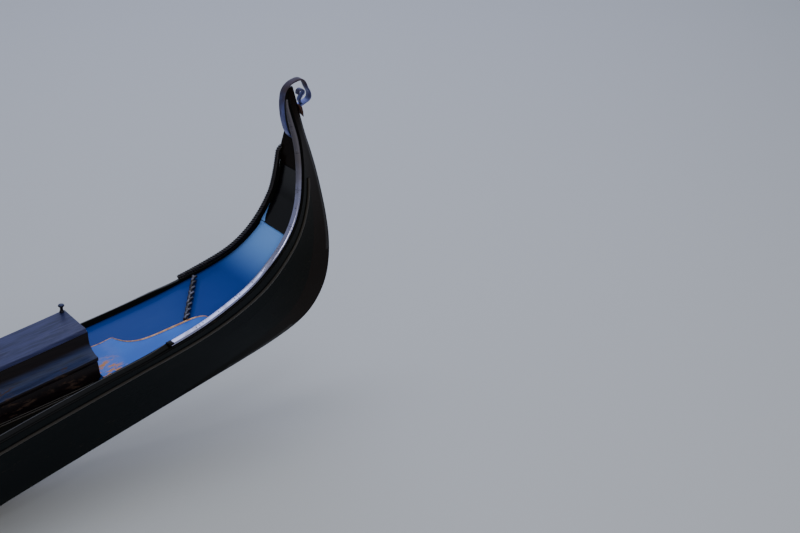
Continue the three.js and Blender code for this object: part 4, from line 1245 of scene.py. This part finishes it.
back_low, back_high = corners_of("seat_back")
back_middle = (back_low.y + back_high.y) / 2
back_face = back_high.x + 0.002
carving = []
for side in (1, -1):
    for offset, height, size, turns, start, hand in SCROLLS:
        place = Vector((back_face, back_middle + side * offset, height))
        angle = start if side > 0 else math.pi - start
        carving.append(scroll(place, size, turns, angle, hand * side))
carving.append(drawn([Vector((back_face, back_middle + y, z)) for y, z in STEM], STEM_RADIUS, bevel=2))
carved = dress(settle(joined(carving), 60), "seat_back_scrolls", GILT)
print("scrolls span", rounded_to(carved.dimensions))

# %% [markdown]
# ## Panels on the locker and the seat fronts
# The fore locker's door and the fronts of the seat and the benches are framed: a raised moulding runs round
# a flat field. The door's two mouldings ride on the door, so that they swing with it.


# %% Raised frames
def frame_corners(low, high, axis, level, aside, rise):
    across = 1 - axis
    corners = []
    for far, top in ((0, 0), (1, 0), (1, 1), (0, 1)):
        corner = Vector((level, level, high.z - rise if top else low.z + rise))
        corner[across] = high[across] - aside if far else low[across] + aside
        corners.append(corner)
    return corners


def raised_frame(name, corners, material, body="hull", depth=0.005):
    places = []
    for first, second in zip(corners, corners[1:] + corners[:1]):
        for share in (0.06, 0.5, 0.94):
            places.append(first.lerp(second, share))
    piece = drawn(places, depth, closed=True, steps=4, bevel=2)
    dress(settle(piece, 60), name, material, body)


DOOR_MOULDINGS = [("door_moulding_0", 0.028, DOOR_WOOD, 0.005), ("door_moulding_1", 0.045, GILT, 0.003)]
low, high = corners_of("locker_door")
for name, margin, finish, depth in DOOR_MOULDINGS:
    corners = frame_corners(low, high, 0, low.x, margin, margin)
    raised_frame(name, corners, finish, "locker_door", depth)
for node in ("port_bench", "starboard_bench"):
    low, high = corners_of(node)
    face = low.y if node.startswith("port") else high.y
    raised_frame(node + "_moulding", frame_corners(low, high, 1, face, 0.04, 0.04), GILT)
low, high = corners_of("seat_box")
raised_frame("seat_front_moulding", frame_corners(low, high, 0, high.x, 0.06, 0.05), GILT)

# %% [markdown]
# ## Mouldings of the foredeck
# The two halves of the foredeck meet under a half-round moulding, and a thicker one finishes their edge
# over the well. Each is drawn through places that are found on the decks themselves, along their crown.

# %% Crown moulding and coaming
CROWN_START, CROWN_STEP, CROWN_PLACES = 2.712, 0.108, 22
SAME_HEIGHT = 0.0004
COAMING_X = 2.708
COAMING_START, COAMING_STEP, COAMING_PLACES = -0.345, 0.0342, 25
SUNK = 0.001
fore_surfaces = [node_surface(f"{side}_foredeck") for side in ("port", "starboard")]


def top_of_foredeck(x, y):
    hits = [under(surface, x, y) for surface in fore_surfaces]
    heights = [hit.z for hit in hits if hit]
    return max(heights) if heights else None


crown = []
for step in range(CROWN_PLACES):
    x = CROWN_START + step * CROWN_STEP
    found = [(top_of_foredeck(x, y / 200), y / 200) for y in range(-30, 50)]
    found = [pair for pair in found if pair[0]]
    if found:
        height = max(found)[0]
        middle = [y for z, y in found if z > height - SAME_HEIGHT]
        crown.append(Vector((x, sum(middle) / len(middle), height - SUNK)))
coaming = []
for step in range(COAMING_PLACES):
    y = COAMING_START + step * COAMING_STEP
    height = top_of_foredeck(COAMING_X, y)
    if height:
        coaming.append(Vector((COAMING_X, y, height - SUNK)))
trims = [drawn(crown, 0.008, steps=4), drawn(coaming, 0.010, steps=3)]
trim = dress(settle(joined(trims), 50), "foredeck_mouldings", RAIL_BLACK)
print("foredeck mouldings:", len(crown), "and", len(coaming), "places,", rounded_to(trim.dimensions))

# %% [markdown]
# ## Floor and light
# A boat afloat is shown with its floor at the waterline, 0.2 m over its flat bottom. The boat's own floor
# lies lower than that, so the pale floor has a hole of the hull's outline. A broad pale box lights the boat
# from above and a soft key from behind the camera, and a far blue box stands where the stern deck mirrors
# it, because gloss shows its form by what it mirrors.

# %% Floor at the waterline
WATERLINE = 0.2
FLOOR_HALF = 60
INSET = 0.006
OUTLINE_START, OUTLINE_STEP, OUTLINE_PLACES = -5.25, 0.05, 211
PLANKS = [f"{side}_{rank}_plank" for side in ("port", "starboard") for rank in ("lower", "upper")]
hull_sides = [node_surface(plank) for plank in PLANKS]
outline = {1: [], -1: []}
for step in range(OUTLINE_PLACES):
    x = OUTLINE_START + step * OUTLINE_STEP
    for side in (1, -1):
        start = Vector((x, side * 2, WATERLINE))
        hits = [surface.ray_cast(start, Vector((0, -side, 0)))[0] for surface in hull_sides]
        reach = [hit.y * side for hit in hits if hit and hit.y * side > 0.03]
        if reach:
            outline[side].append(Vector((x, side * (max(reach) - INSET), WATERLINE)))
loop = outline[1] + outline[-1][::-1]
FAR_CORNERS = ((-1, -1), (1, -1), (1, 1), (-1, 1))
corners = [Vector((x * FLOOR_HALF, y * FLOOR_HALF, WATERLINE)) for x, y in FAR_CORNERS]
rings = [(index, (index + 1) % len(loop)) for index in range(len(loop))]
rings += [(len(loop) + index, len(loop) + (index + 1) % 4) for index in range(4)]
ground = from_points(loop + corners, rings)
ground.name = "floor"
with editing(ground):
    bpy.ops.mesh.select_mode(type="EDGE")
    bpy.ops.mesh.select_all(action="SELECT")
    bpy.ops.mesh.fill()
pale = Finish("pale_floor")
ground.data.materials.append(pale.paint(Base_Color=(0.62, 0.62, 0.61), Roughness=0.6))
print("waterline outline:", len(loop), "points, floor faces:", len(ground.data.polygons))


# %% Soft light
def softbox(name, place, target, size, power, colour):
    lamp = bpy.data.lights.new(name, "AREA")
    lamp.shape = "RECTANGLE"
    lamp.size, lamp.size_y = size
    lamp.energy = power
    lamp.color = colour
    holder = bpy.data.objects.new(name, lamp)
    bpy.context.collection.objects.link(holder)
    holder.location = place
    aim = Vector(target) - Vector(place)
    holder.rotation_euler = aim.to_track_quat("-Z", "Y").to_euler()


STERN = (-4, 0, 0.8)
DECK = Vector((-4.6, 0, 0.9))
MIRRORED = Vector((-0.536, -0.712, 0.454))
FAR_SKY_AWAY = 11
softbox("sky_box", (-6, -1, 9), STERN, (9, 7), 330, (0.82, 0.88, 1.0))
softbox("key_box", (-2, 9, 6), STERN, (4, 3), 240, (1.0, 0.97, 0.92))
softbox("far_sky", DECK + MIRRORED * FAR_SKY_AWAY, DECK, (11, 5), 330, (0.60, 0.68, 1.0))
world = bpy.data.worlds.new("pale_sky")
world.use_nodes = True
background = world.node_tree.nodes["Background"]
background.inputs["Color"].default_value = (0.72, 0.78, 0.9, 1)
background.inputs["Strength"].default_value = 0.38
bpy.context.scene.world = world
